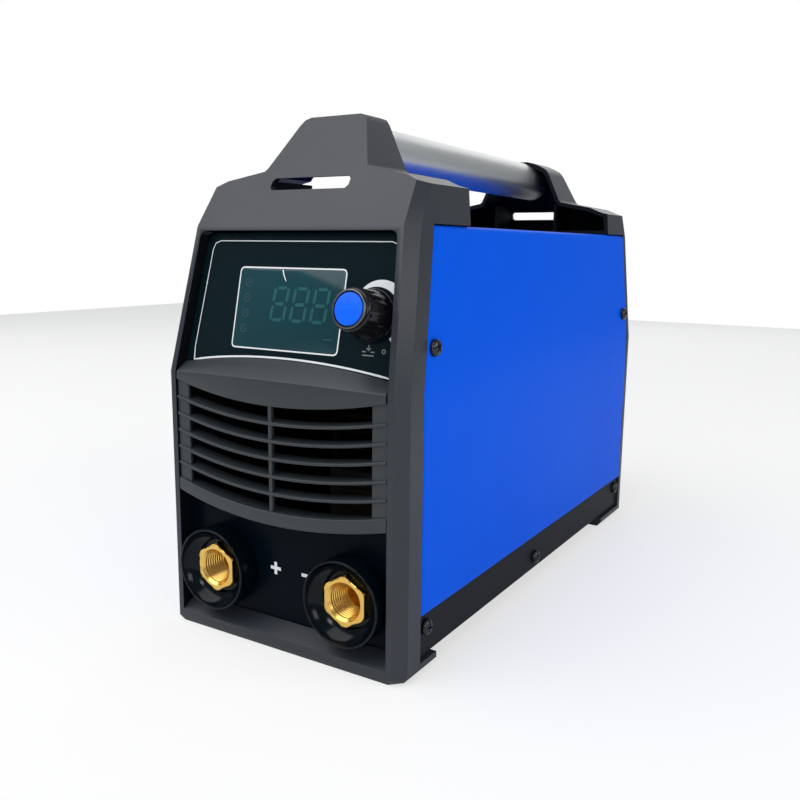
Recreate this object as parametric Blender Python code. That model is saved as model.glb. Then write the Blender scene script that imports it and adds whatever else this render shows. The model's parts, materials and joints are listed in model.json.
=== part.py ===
"""Stick welding inverter: a narrow case with a bar handle, display, louvres and two weld sockets.

Lengths in this file are millimetres and are scaled to metres when a mesh is made.
X is the width, the front faces -Y and Z is up. Y values are measured from the front rim,
and Y_CENTRE moves the whole machine so that its bounding box is centred on the origin.
"""

import math

import bmesh
import bpy
from mathutils import Matrix, Vector

MM = 0.001
HALF_WIDTH = 66.0
DEPTH = 296.5
Y_CENTRE = 152.2526
GAP = 0.3

BEND_Z = 123.0
CREASE_Z = 189.0
SIDE_TAPER = 0.078
FRONT_LEAN = 14.8 / 66.0
REAR_LEAN = 4.0 / 66.0
FRONT_BROW = 0.642
REAR_BROW = 0.38
REAR_DROP = 3.5
CHAMFER = 5.0
RIM = 2.8
RISER_TOP = 238.3
FRONT_SKIRT = 15.3
REAR_SKIRT = 9.4
FRONT_BLOCK = 63.0
REAR_BLOCK = 44.5
FRONT_FOOT = 29.6
SKIRT_WALL = 4.0
FOOT_TOP = 5.4

TRAY_BOTTOM = 5.7
TRAY_SHEET = 1.5
TRAY_HALF = 64.6
TRAY_TOP = 31.0
COVER_BOTTOM = 26.6
COVER_TOP = 189.5
COVER_SHEET = 1.2

TUBE_RADIUS = 11.2
TUBE_BORE = 9.6
TUBE_Z = 226.2
TUBE_FALL = 0.0099
TUBE_START = 49.5
TUBE_END = 271.5
BOSS_RADIUS = 9.2

SLOT_HALF = 21.3
SLOT_LOW = 204.8
SLOT_HIGH = 210.2

OPENING_HALF = HALF_WIDTH - CHAMFER - RIM
OPENING_TOP = 187.0
PANEL_Y = 8.0
PANEL_THICK = 2.6
PANEL_LOW = 11.5
ARC_SAG = 6.4
GRILLE_BULGE = 3.4
SLAT_Z = (105.6, 97.8, 90.0, 82.2, 74.4)
SLAT_SAG = 5.8

SOCKET_X = 36.7
SOCKET_Z = 31.8
CUP_RADIUS = 19.2
CUP_FRONT = -3.4
INSERT_BORE = 7.6

OVERLAY_OFFSET = 5.2
OVERLAY_THICK = 0.9
WINDOW = (-30.4, 27.8, 14.1, 50.2)
KNOB_X = 43.8
KNOB_ALONG = 31.4
KNOB_BASE = 11.0

FAN_Z = 64.0
FAN_SIZE = 80.0
FAN_DEPTH = 25.0
SWITCH_X = -26.0
ROCKER_Y = 296.0
ROCKER_TILT = 12.0
GLAND_X = 28.0
UPPER_REAR_Z = 150.0

SCREWS = (("front_upper", 24.8, 140.0), ("front_lower", 21.6, 19.7), ("middle", 142.0, 13.6),
          ("rear_lower", 279.5, 20.0), ("rear_upper", 277.5, 139.0))


def clear_scene():
    for obj in list(bpy.data.objects):
        bpy.data.objects.remove(obj, do_unlink=True)


def material(name, colour, roughness, metallic=0.0):
    found = bpy.data.materials.get(name)
    if found:
        return found
    made = bpy.data.materials.new(name)
    made.use_nodes = True
    shader = made.node_tree.nodes["Principled BSDF"]
    shader.inputs["Base Color"].default_value = (*colour, 1.0)
    shader.inputs["Roughness"].default_value = roughness
    shader.inputs["Metallic"].default_value = metallic
    made.diffuse_color = (*colour, 1.0)
    return made


def solid(name, points, faces, slot=None):
    """One mesh object from points in millimetres, with its faces turned outward."""
    mesh = bpy.data.meshes.new(name)
    mesh.from_pydata([(x * MM, (y - Y_CENTRE) * MM, z * MM) for x, y, z in points], [], faces)
    work = bmesh.new()
    work.from_mesh(mesh)
    bmesh.ops.remove_doubles(work, verts=work.verts, dist=1e-7)
    bmesh.ops.recalc_face_normals(work, faces=work.faces)
    if work.calc_volume(signed=True) < 0:
        bmesh.ops.reverse_faces(work, faces=work.faces)
    work.to_mesh(mesh)
    work.free()
    obj = bpy.data.objects.new(name, mesh)
    bpy.context.scene.collection.objects.link(obj)
    if slot:
        mesh.materials.append(slot)
    return obj


def loft(name, loops, slot=None):
    """A solid through matching loops of points, closed by its first and last loop."""
    count = len(loops[0])
    points = [point for loop in loops for point in loop]
    faces = [tuple(range(count))[::-1]]
    for row in range(len(loops) - 1):
        start = row * count
        for i in range(count):
            j = (i + 1) % count
            faces.append((start + i, start + j, start + count + j, start + count + i))
    faces.append(tuple(range(len(points) - count, len(points))))
    return solid(name, points, faces, slot)


def prism(name, outline, axis, low, high, slot=None):
    """An outline pushed along an axis: x takes (y, z), y takes (x, z) and z takes (x, y)."""
    place = {"x": lambda u, v, t: (t, u, v), "y": lambda u, v, t: (u, t, v),
             "z": lambda u, v, t: (u, v, t)}[axis]
    return loft(name, [[place(u, v, t) for u, v in outline] for t in (low, high)], slot)


def box(name, x, y, z, slot=None):
    return prism(name, [(x[0], y[0]), (x[1], y[0]), (x[1], y[1]), (x[0], y[1])],
                 "z", z[0], z[1], slot)


def circle(radius, count, centre=(0.0, 0.0), turn=0.0):
    step = 2 * math.pi / count
    return [(centre[0] + radius * math.cos(turn + i * step),
             centre[1] + radius * math.sin(turn + i * step)) for i in range(count)]


def rod(name, axis, centre, radius, low, high, count=16, slot=None):
    return prism(name, circle(radius, count, centre), axis, low, high, slot)


def lathe(name, profile, centre, count, slot=None, axis=(0.0, 1.0, 0.0)):
    """A profile of (radius, distance) turned about an axis through a centre.
    A profile that starts and ends on radius 0 is capped; any other is joined end to end."""
    along = Vector(axis).normalized()
    side = Vector((1.0, 0.0, 0.0)) if abs(along.x) < 0.9 else Vector((0.0, 0.0, 1.0))
    other = along.cross(side)
    base = Vector(centre)
    points = []
    rings = []
    for radius, distance in profile:
        middle = base + along * distance
        if radius == 0.0:
            rings.append([len(points)] * count)
            points.append(tuple(middle))
            continue
        rings.append(list(range(len(points), len(points) + count)))
        for u, v in circle(radius, count):
            points.append(tuple(middle + side * u + other * v))
    if profile[0][0] != 0.0:
        rings.append(rings[0])
    faces = []
    for first, second in zip(rings, rings[1:]):
        for i in range(count):
            j = (i + 1) % count
            corners = (first[i], first[j], second[j], second[i])
            faces.append(tuple(dict.fromkeys(corners)))
    return solid(name, points, faces, slot)


def combine(obj, tools, operation):
    """Applies a Boolean with each tool in turn and removes the tools."""
    for tool in tools:
        step = obj.modifiers.new(operation.lower(), "BOOLEAN")
        step.operation = operation
        step.solver = "EXACT"
        step.object = tool
        bpy.context.view_layer.update()
        graph = bpy.context.evaluated_depsgraph_get()
        result = bpy.data.meshes.new_from_object(obj.evaluated_get(graph))
        obj.modifiers.clear()
        obj.data = result
        bpy.data.objects.remove(tool, do_unlink=True)
    work = bmesh.new()
    work.from_mesh(obj.data)
    bmesh.ops.remove_doubles(work, verts=work.verts, dist=2e-6)
    bmesh.ops.dissolve_degenerate(work, edges=work.edges, dist=2e-6)
    work.to_mesh(obj.data)
    work.free()
    return obj


def pivot(obj, x, y, z):
    """Moves the origin of a turning or sliding piece onto its axis."""
    place = Vector((x * MM, (y - Y_CENTRE) * MM, z * MM))
    obj.data.transform(Matrix.Translation(-place))
    obj.location = place
    return obj


def cut(obj, *tools):
    return combine(obj, tools, "DIFFERENCE")


def join(obj, *tools):
    return combine(obj, tools, "UNION")


def keep(obj, *tools):
    return combine(obj, tools, "INTERSECT")


def half_width(z):
    return HALF_WIDTH - max(0.0, z - BEND_Z) * SIDE_TAPER


def lean_at(z, lean):
    """How far the end face has leaned back at height z."""
    brow = FRONT_BROW if lean == FRONT_LEAN else REAR_BROW
    upper = max(0.0, z - CREASE_Z) * brow
    return min(max(0.0, z - BEND_Z), CREASE_Z - BEND_Z) * lean + upper


def mirrored(right):
    return right + [(-x, z) for x, z in reversed(right)]


def tube_z(y):
    """Height of the handle tube's axis, which falls a little toward the rear."""
    return TUBE_Z - (y - TUBE_START) * TUBE_FALL


def case_outline(lean):
    if lean == FRONT_LEAN:
        return mirrored([(72.0, -2.0), (72.0, 202.5), (59.5, 205.8), (54.5, 207.2), (48.5, 209.8),
                         (28.6, 213.6), (27.2, 215.0), (18.3, 234.8), (16.6, 237.2),
                         (13.6, RISER_TOP)])
    return mirrored([(72.0, -2.0), (72.0, 199.0), (59.5, 202.3), (54.5, 203.7), (48.5, 206.3),
                     (28.6, 210.1), (27.2, 211.5), (20.0, 227.5), (17.8, 230.6), (14.0, 232.8),
                     (9.0, 234.9), (4.5, 236.0)])


def hollow_outline(lean):
    if lean == FRONT_LEAN:
        return mirrored([(58.0, 192.1), (57.2, 203.8), (54.0, 204.8), (47.8, 207.3),
                         (27.0, 211.3), (24.9, 213.9), (16.1, 233.6), (14.9, 235.6),
                         (12.8, 236.3)])
    return mirrored([(58.0, 192.1), (57.2, 200.3), (54.0, 201.3), (47.8, 203.8), (27.0, 207.8),
                     (24.9, 210.4), (17.8, 226.0), (15.9, 228.6), (12.6, 230.4), (7.0, 232.2)])


def bezel(name, end, lean, skirt, block, foot):
    """A moulded end of the case: `end` maps a distance from its outer face to Y."""
    loops = []
    for z, inset in ((0.0, 2.4), (2.6, 0.0), (BEND_Z, 0.0), (CREASE_Z, 0.0), (242.0, 0.0)):
        w = half_width(z) - inset
        y = lean_at(z, lean) + inset * 0.5
        corners = [(w - CHAMFER, y), (w, y + CHAMFER), (w, 90.0)]
        loops.append([(x, end(d), z) for x, d in mirrored(corners)])
    shell = loft(name, loops, material("case_charcoal", (0.018, 0.019, 0.021), 0.42))
    inner = lean_at(CREASE_Z, lean)
    side = [(-9.0, -2.0), (foot, -2.0), (foot, FOOT_TOP), (skirt, FOOT_TOP), (skirt, BEND_Z),
            (skirt + inner, CREASE_Z), (skirt + inner, COVER_TOP + 0.4),
            (block, COVER_TOP + 0.4), (block, 250.0), (-9.0, 250.0)]
    keep(shell, prism("outline", case_outline(lean), "y", -20.0, 320.0),
         prism("side", [(end(d), z) for d, z in side], "x", -80.0, 80.0))
    hollow = prism("hollow", hollow_outline(lean), "y", -20.0, 320.0)
    slope = [(lean_at(z, lean) + 3.0, z) for z in (192.0, 240.0)]
    keep(hollow, prism("slope", [(end(d), z) for d, z in slope + [(99.0, 240.0), (99.0, 192.0)]],
                       "x", -70.0, 70.0))
    half, low, high = SLOT_HALF, SLOT_LOW, SLOT_HIGH
    if lean == REAR_LEAN:
        half, low, high = 19.8, SLOT_LOW - REAR_DROP - 1.0, SLOT_HIGH - REAR_DROP - 1.4
    slot = prism("slot", [(half, low + 1.4), (half, high - 1.4), (half - 1.4, high),
                          (-half + 1.4, high), (-half, high - 1.4), (-half, low + 1.4),
                          (-half + 1.4, low), (half - 1.4, low)],
                 "y", min(end(2.0), end(40.0)), max(end(2.0), end(40.0)))
    cut(shell, hollow, slot)
    return shell


def hollow_body(end, lean, start):
    loops = []
    for z in (FOOT_TOP, BEND_Z, OPENING_TOP):
        w = half_width(z) - SKIRT_WALL
        y = lean_at(z, lean) + start
        loops.append([(x, end(d), z) for x, d in ((w, y), (w, 95.0), (-w, 95.0), (-w, y))])
    return loft("room", loops)


def tube_seat(end, near, far):
    """The room that the tube takes out of a riser."""
    reach = sorted((end(near), end(far)))
    radius = TUBE_RADIUS + GAP
    return lathe("seat", [(0.0, reach[0]), (radius, reach[0]), (radius, reach[1]),
                          (0.0, reach[1])], (0.0, 0.0, tube_z(0.0)), 40,
                 axis=(0.0, 1.0, -TUBE_FALL))


def tube_boss(end, lean, far, z):
    boss = rod("boss", "y", (0.0, z), BOSS_RADIUS, min(end(20.0), end(far)),
               max(end(20.0), end(far)), 20)
    slope = [(lean_at(z, lean) + 1.2, z) for z in (200.0, 245.0)]
    return keep(boss, prism("slope", [(end(d), z) for d, z in slope + [(99.0, 245.0), (99.0, 200.0)]],
                            "x", -40.0, 40.0))


def ribs(end, lean, near, reach):
    """Two upright ribs inside the shell under a riser."""
    outline = [(reach, 190.6), (lean_at(190.6, lean) + 1.2, 190.6),
               (lean_at(209.0, lean) + 1.2, 209.0), (reach, 209.0)]
    return [prism("rib", [(end(d), z) for d, z in outline], "x", low, low + 2.0)
            for low in (near, -near - 2.0)]


def lug(x, y, z, hole):
    """A block behind the sheet that takes one cover screw."""
    block = box("lug", (min(x), max(x)), y, z)
    return cut(block, rod("pilot", "x", hole, 2.0, -80.0, 80.0, 10))


def side_lugs(shell, near, far, upper, lower):
    for sign in (1, -1):
        join(shell, lug((sign * 56.5, sign * 62.6), (min(near, far), max(near, far)),
                        (lower[1] - 6.0, lower[1] + 6.0), lower))
        join(shell, lug((sign * 56.5, sign * 62.4), (min(near, far), max(near, far)),
                        (upper[1] - 6.0, upper[1] + 6.0), upper))
    return shell


def front_bezel():
    def end(distance):
        return distance

    shell = bezel("front_bezel", end, FRONT_LEAN, FRONT_SKIRT, FRONT_BLOCK, FRONT_FOOT)
    loops = []
    for z in (0.0, BEND_Z, OPENING_TOP):
        w = half_width(z) - CHAMFER - RIM
        loops.append([(w, -12.0, z), (w, 40.0, z), (-w, 40.0, z), (-w, -12.0, z)])
    opening = loft("opening", loops)
    keep(opening, prism("sill", [(-10.0, 0.2), (PANEL_Y, 11.1), (60.0, 11.1), (60.0, 200.0),
                                 (-10.0, 200.0)], "x", -70.0, 70.0))
    cut(shell, hollow_body(end, FRONT_LEAN, 8.5), opening,
        tube_seat(end, TUBE_START - GAP, 75.0))
    join(shell, tube_boss(end, FRONT_LEAN, 58.0, tube_z(54.0)),
         *ribs(end, FRONT_LEAN, 21.6, 57.0))
    return side_lugs(shell, 14.2, 32.0, SCREWS[0][1:], SCREWS[1][1:])


def rear_bezel():
    def end(distance):
        return DEPTH - distance

    shell = bezel("rear_bezel", end, REAR_LEAN, REAR_SKIRT, REAR_BLOCK, REAR_BLOCK)
    cut(shell, hollow_body(end, REAR_LEAN, 2.8),
        rod("duct", "y", (0.0, FAN_Z), 37.5, 270.0, 320.0, 32),
        box("switch_hole", (SWITCH_X - 13.4, SWITCH_X + 13.4), (270.0, 320.0),
            (UPPER_REAR_Z - 9.6, UPPER_REAR_Z + 9.6)),
        rod("gland_hole", "y", (GLAND_X, UPPER_REAR_Z), 10.3, 270.0, 320.0, 20),
        tube_seat(end, DEPTH - TUBE_END - GAP, 60.0))
    join(shell, tube_boss(end, REAR_LEAN, 46.0, tube_z(261.0)),
         *ribs(end, REAR_LEAN, 20.2, DEPTH - 262.0))
    return side_lugs(shell, 271.0, 289.5, SCREWS[4][1:], SCREWS[3][1:])


def screw_holes(obj, names, radius=2.3):
    chosen = [(y, z) for name, y, z in SCREWS if name in names]
    return cut(obj, *[rod("hole", "x", place, radius, -80.0, 80.0, 12) for place in chosen])


def side_cover():
    def profile(shift):
        top = COVER_TOP - shift
        w = half_width(CREASE_Z) - shift
        return [(HALF_WIDTH - shift, BEND_Z), (w + 0.2, top - 2.2), (w - 0.5, top - 0.6),
                (w - 2.0, top)]

    outer = [(HALF_WIDTH, COVER_BOTTOM)] + profile(0.0)
    inner = [(HALF_WIDTH - COVER_SHEET, COVER_BOTTOM)] + profile(COVER_SHEET)
    right = outer + [(-x, z) for x, z in reversed(outer)]
    back = [(-x, z) for x, z in inner] + [(x, z) for x, z in reversed(inner)]
    sheet = prism("side_cover", right + back, "y", 0.0, 310.0,
                  material("cover_blue", (0.0, 0.085, 0.62), 0.34))
    rear = DEPTH - REAR_SKIRT - GAP
    front = FRONT_SKIRT + GAP
    keep(sheet, prism("ends", [(front, 0.0), (rear, 0.0), (rear, BEND_Z),
                               (rear - 4.0, CREASE_Z), (rear - 4.0, 200.0),
                               (front + 14.8, 200.0), (front + 14.8, CREASE_Z),
                               (front, BEND_Z)], "x", -80.0, 80.0))
    return screw_holes(sheet, ("front_upper", "rear_upper"))


def base_tray():
    half = TRAY_HALF
    low = TRAY_BOTTOM
    thick = TRAY_SHEET
    outline = [(half - 1.5, low), (half, low + 1.5), (half, TRAY_TOP), (half - thick, TRAY_TOP),
               (half - thick, low + thick), (-half + thick, low + thick),
               (-half + thick, TRAY_TOP), (-half, TRAY_TOP), (-half, low + 1.5),
               (-half + 1.5, low)]
    tray = prism("base_tray", outline, "y", FRONT_SKIRT + GAP, DEPTH - REAR_SKIRT - GAP,
                 material("sheet_black", (0.012, 0.013, 0.015), 0.48))
    return screw_holes(tray, ("front_lower", "middle", "rear_lower"))


def arc_drop(x):
    """How far a curved bar hangs below its ends at x."""
    return ARC_SAG * (1.0 - (x / 57.8) ** 2)


def bulge(x):
    return -GRILLE_BULGE * (1.0 - (x / 57.8) ** 2)


def sweep(name, section, half, count, slot=None):
    """A bar along X whose section is given at each station as (y, z) points."""
    loops = []
    for i in range(count + 1):
        x = -half + 2 * half * i / count
        loops.append([(x, y, z) for y, z in section(x)])
    return loft(name, loops, slot)


def brow_section(x):
    low = 119.2 - arc_drop(x)
    arch = 127.2 + 4.6 * (1.0 - (x / 57.8) ** 2)
    top = lean_at(arch, FRONT_LEAN)
    crest = BEND_Z + 1.2 * (1.0 - (x / 57.8) ** 2)
    front = bulge(x)
    return [(front + 0.6, low), (front, low + 0.8), (front, crest - 0.3),
            (front + 0.6, crest + 0.2), (top + 5.0, arch), (7.0, 118.0), (5.0, low)]


def band_section(x):
    top = 72.6 - arc_drop(x)
    low = 66.2 - arc_drop(x)
    front = bulge(x)
    return [(front + 0.4, low), (front, low + 0.6), (front, top - 0.6), (front + 0.6, top),
            (6.5, top), (6.5, low)]


def slat_section(middle):
    def section(x):
        z = middle + SLAT_SAG * (x / 57.8) ** 2
        front = bulge(x) + 0.1
        return [(front, z - 0.75), (front, z + 0.75), (front + 7.6, z + 1.4),
                (front + 7.6, z + 0.1)]
    return section


def vent_grille():
    slot = material("grille_black", (0.010, 0.011, 0.012), 0.36)
    half = OPENING_HALF - GAP
    grille = sweep("vent_grille", brow_section, half - 0.5, 16, slot)
    parts = [sweep("band", band_section, half, 16)]
    for sign in (-1, 1):
        post = [(sign * 50.6, 0.5), (sign * (half - 0.02), 0.9), (sign * (half - 0.02), 6.2),
                (sign * 50.6, 6.2)]
        parts.append(prism("post", post, "z", 66.9, 120.2))
    parts.append(box("centre_post", (-1.1, 1.1), (-2.6, 4.6), (63.0, 115.0)))
    for z in SLAT_Z:
        parts.append(sweep("slat", slat_section(z), 57.2, 14))
    return join(grille, *parts)


def output_panel():
    half = OPENING_HALF - GAP
    lower = [(half, PANEL_LOW), (half, 65.2)]
    arc = [(x, 65.2 - arc_drop(x)) for x in (46.0, 34.0, 22.0, 10.0)]
    plate = prism("output_panel", mirrored(lower + arc), "y", PANEL_Y, PANEL_Y + PANEL_THICK,
                  material("panel_black", (0.008, 0.008, 0.010), 0.16))
    return cut(plate, *[rod("hole", "y", (x, SOCKET_Z), 12.1, 0.0, 30.0, 24)
                        for x in (-SOCKET_X, SOCKET_X)])


def socket_insert(name, x):
    slot = material("brass", (0.62, 0.44, 0.16), 0.30, 1.0)
    body = rod(name, "y", (x, SOCKET_Z), 9.0, 3.0, 33.0, 24, slot)
    head = prism("hex", circle(11.9, 6, (x, SOCKET_Z), math.pi / 6), "y", 0.2, 4.6)
    join(body, head)
    bore = lathe("bore", [(0.0, -4.0), (8.7, -4.0), (8.7, 0.1), (INSERT_BORE, 1.5),
                          (INSERT_BORE, 26.0), (0.0, 26.0)], (x, 0.0, SOCKET_Z), 24)
    return cut(body, bore)


def socket_cup(name, x):
    return lathe(name, [(CUP_RADIUS, CUP_FRONT), (CUP_RADIUS, PANEL_Y - GAP),
                        (11.8, PANEL_Y - GAP), (11.8, 24.0), (9.3, 24.0), (9.3, 4.9),
                        (12.6, 4.9), (14.4, 3.2), (16.6, 0.0), (18.1, CUP_FRONT)],
                 (x, 0.0, SOCKET_Z), 36, material("socket_black", (0.009, 0.009, 0.011), 0.22))


def socket_nut(name, x):
    body = prism(name, circle(16.5, 6, (x, SOCKET_Z)), "y", PANEL_Y + PANEL_THICK + GAP, 16.4,
                 material("nut_nylon", (0.02, 0.02, 0.022), 0.5))
    return cut(body, rod("hole", "y", (x, SOCKET_Z), 12.1, 0.0, 30.0, 24))


def busbar(name, x):
    """A copper strap bolted to the back of a socket and bent up to the power board."""
    side = 1 if x > 0 else -1
    outline = [(33.3, 24.0), (33.3, 52.0), (62.0, 52.0), (62.0, 50.0), (35.3, 50.0), (35.3, 24.0)]
    return prism(name, outline, "x", x - 7.0 + side, x + 7.0 + side,
                 material("copper", (0.72, 0.36, 0.22), 0.35, 1.0))


def display_frame():
    """Origin, up and outward directions of the leaning display face."""
    up = Vector((0.0, FRONT_LEAN, 1.0)).normalized()
    out = Vector((0.0, -1.0, FRONT_LEAN)).normalized()
    return Vector((0.0, 0.0, BEND_Z)), up, out


def on_display(x, along, outward):
    base, up, out = display_frame()
    return tuple(base + Vector((x, 0.0, 0.0)) + up * along + out * outward)


def display_slab(name, outline, low, high, slot=None):
    loops = [[on_display(x, along, level) for x, along in outline] for level in (low, high)]
    return loft(name, loops, slot)


def overlay_outline(inset):
    def width(along):
        return OPENING_HALF - SIDE_TAPER * along * 0.976 - inset

    corner = 5.0
    top = 66.2 - inset
    right = [(width(5.4), 5.4 + inset), (width(top - corner), top - corner),
             (width(top) - 1.5, top - 1.5), (width(top) - corner, top)]
    arch = [(x, 5.4 + inset + 4.6 * (1.0 - (x / 57.8) ** 2)) for x in (12.0, 28.0, 44.0)]
    return mirrored(arch + right)


def display_parts():
    face = -OVERLAY_OFFSET
    left, right, low, high = WINDOW
    pane = [(left, low), (right, low), (right, high), (left, high)]
    overlay = display_slab("display_overlay", overlay_outline(GAP), face - OVERLAY_THICK, face,
                           material("overlay_black", (0.010, 0.010, 0.012), 0.10))
    shaft_hole = display_slab("hole", circle(4.2, 16, (KNOB_X, KNOB_ALONG)), face - 9.0, 9.0)
    cut(overlay, display_slab("window", pane, face - 9.0, face + 9.0), shaft_hole)
    inside = [(left + GAP, low + GAP), (right - GAP, low + GAP), (right - GAP, high - GAP),
              (left + GAP, high - GAP)]
    display_slab("display_window", inside, face - OVERLAY_THICK, face - 0.15,
                 material("window_tint", (0.02, 0.07, 0.075), 0.08))
    back = face - OVERLAY_THICK - GAP
    carrier = display_slab("display_carrier", overlay_outline(GAP + 0.4), back - 2.0, back,
                           material("carrier_black", (0.02, 0.02, 0.022), 0.5))
    cut(carrier, display_slab("window", pane, back - 9.0, back + 9.0),
        display_slab("hole", circle(4.2, 16, (KNOB_X, KNOB_ALONG)), back - 9.0, back + 9.0))
    module = [(left + 1.0, low + 1.0), (right - 1.0, low + 1.0), (right - 1.0, high - 1.0),
              (left + 1.0, high - 1.0)]
    display_slab("lcd_module", module, back - 7.0, back + 0.1,
                 material("lcd_grey", (0.09, 0.12, 0.12), 0.4))
    board = [(-50.0, 9.0), (50.0, 9.0), (47.5, 58.0), (-47.5, 58.0)]
    display_slab("control_board", board, back - 9.0, back - 7.4,
                 material("board_green", (0.02, 0.12, 0.05), 0.45))
    return back


def knob_parts(back):
    _, _, out = display_frame()
    foot = on_display(KNOB_X, KNOB_ALONG, 0.0)
    black = material("knob_black", (0.010, 0.010, 0.011), 0.22)
    base = -OVERLAY_OFFSET + 2.0
    body = lathe("knob_body", [(0.0, base + 5.0), (3.4, base + 5.0), (3.4, base), (KNOB_BASE, base),
                        (KNOB_BASE, base + 1.6), (10.1, base + 2.6), (8.9, base + 14.4),
                        (7.7, base + 15.4), (0.0, base + 15.4)], foot, 32, black, out)
    ring = lathe("knob_ring", [(7.9, base + 15.7), (7.9, base + 16.4), (7.4, base + 16.9),
                        (7.1, base + 16.9), (7.1, base + 15.7)], foot, 32,
          material("ring_silver", (0.75, 0.76, 0.78), 0.18, 1.0), out)
    cap = lathe("knob_cap", [(0.0, base + 15.7), (6.8, base + 15.7), (6.8, base + 16.6),
                       (6.3, base + 16.9), (0.0, base + 17.0)], foot, 32,
          material("cap_blue", (0.0, 0.16, 0.62), 0.30), out)
    shaft = lathe("encoder_shaft", [(0.0, back - 4.4), (2.9, back - 4.4), (2.9, base + 4.7),
                            (0.0, base + 4.7)], foot, 20,
          material("shaft_steel", (0.6, 0.6, 0.62), 0.3, 1.0), out)
    lathe("encoder_body", [(0.0, back - 7.2), (6.6, back - 7.2), (6.6, back - 2.3),
                           (3.9, back - 2.3), (3.9, back - 6.4), (0.0, back - 6.4)], foot, 20,
          material("encoder_grey", (0.25, 0.26, 0.28), 0.45, 0.6), out)
    for piece in (body, ring, cap, shaft):
        pivot(piece, *foot)


def handle_tube():
    return lathe("handle_tube", [(TUBE_RADIUS, TUBE_START), (TUBE_RADIUS, TUBE_END),
                                 (TUBE_BORE, TUBE_END), (TUBE_BORE, TUBE_START)],
                 (0.0, 0.0, tube_z(0.0)), 40,
                 material("handle_aluminium", (0.78, 0.79, 0.80), 0.30, 1.0),
                 (0.0, 1.0, -TUBE_FALL))


def fan_parts():
    black = material("fan_black", (0.014, 0.014, 0.016), 0.5)
    back = DEPTH - 2.8 - GAP
    front = back - FAN_DEPTH
    half = FAN_SIZE / 2
    frame = box("fan_frame", (-half, half), (front, back), (FAN_Z - half, FAN_Z + half), black)
    cut(frame, rod("bore", "y", (0.0, FAN_Z), 38.0, front - 5.0, back + 5.0, 32))
    join(frame, rod("motor", "y", (0.0, FAN_Z), 15.0, front + 0.6, front + 5.0, 20),
         *[strut(front, turn) for turn in (45.0, 135.0)])
    rotor = rod("fan_rotor", "y", (0.0, FAN_Z), 15.4, front + 5.6, back - 1.6, 24, black)
    join(rotor, *[blade(front, 360.0 * i / 7) for i in range(7)])
    pivot(rotor, 0.0, 280.0, FAN_Z)
    guard()


def strut(front, turn):
    half_length = 39.0
    c = math.cos(math.radians(turn))
    s = math.sin(math.radians(turn))
    outline = [(half_length, 1.6), (-half_length, 1.6), (-half_length, -1.6), (half_length, -1.6)]
    return prism("strut", [(u * c - v * s, FAN_Z + u * s + v * c) for u, v in outline], "y",
                 front + 0.9, front + 4.0)


def blade(front, turn):
    c = math.cos(math.radians(turn))
    s = math.sin(math.radians(turn))
    loops = []
    for radius, twist in ((14.0, 9.5), (25.0, 8.0), (36.6, 6.5)):
        loop = []
        for v, y in ((-twist, front + 7.2), (-twist, front + 8.6), (twist, back_of(front)),
                     (twist, back_of(front) - 1.4)):
            loop.append((radius * c - v * s, y, FAN_Z + radius * s + v * c))
        loops.append(loop)
    return loft("blade", loops)


def back_of(front):
    return front + FAN_DEPTH - 3.0


def guard():
    chrome = material("guard_steel", (0.55, 0.56, 0.58), 0.3, 1.0)
    y = DEPTH + GAP
    rings = []
    for radius in (40.5, 31.0, 21.5, 12.0):
        rings.append(lathe("ring", [(radius - 0.8, 1.7), (radius - 0.8, 3.3), (radius + 0.8, 3.3),
                                    (radius + 0.8, 1.7)], (0.0, y, FAN_Z), 32))
    bars = []
    for turn in (45.0, 135.0):
        c = math.cos(math.radians(turn))
        s = math.sin(math.radians(turn))
        outline = [(46.0, 1.0), (-46.0, 1.0), (-46.0, -1.0), (46.0, -1.0)]
        bars.append(prism("bar", [(u * c - v * s, FAN_Z + u * s + v * c) for u, v in outline],
                          "y", y, y + 2.3))
    whole = bars[0]
    whole.name = "fan_guard"
    whole.data.materials.append(chrome)
    return join(whole, bars[1], *rings)


def rear_fittings():
    nylon = material("gland_nylon", (0.02, 0.02, 0.022), 0.45)
    z = UPPER_REAR_Z
    body = box("switch_body", (SWITCH_X - 13.0, SWITCH_X + 13.0), (272.0, 296.4),
               (z - 9.2, z + 9.2), nylon)
    join(body, box("flange", (SWITCH_X - 15.0, SWITCH_X + 15.0), (295.9, 297.6),
                   (z - 11.2, z + 11.2)))
    cut(body, box("well", (SWITCH_X - 11.2, SWITCH_X + 11.2), (284.0, 310.0),
                  (z - 7.6, z + 7.6)))
    tilt = Matrix.Rotation(math.radians(-ROCKER_TILT), 2)
    outline = [tilt @ Vector(corner) for corner in
               ((-9.8, 3.0), (-10.3, -1.2), (-4.0, -8.0), (4.0, -8.0), (10.3, -1.2), (9.8, 3.0),
                (0.0, 1.2))]
    rocker = prism("switch_rocker", [(SWITCH_X + u, ROCKER_Y + v) for u, v in outline], "z",
                   z - 7.0, z + 7.0, material("rocker_red", (0.62, 0.02, 0.015), 0.3))
    pivot(rocker, SWITCH_X, ROCKER_Y, z)
    lathe("cord_gland", [(9.9, 286.0), (9.9, 296.2), (14.0, 296.2), (14.0, 302.0),
                         (11.5, 303.0), (10.6, 309.0), (9.0, 312.6), (5.2, 312.6),
                         (5.2, 286.0)], (GLAND_X, 0.0, z), 24, nylon)
    nut = prism("gland_nut", circle(15.0, 6, (GLAND_X, z)), "y", 285.2, 290.2, nylon)
    cut(nut, rod("hole", "y", (GLAND_X, z), 10.2, 270.0, 300.0, 20))


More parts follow.
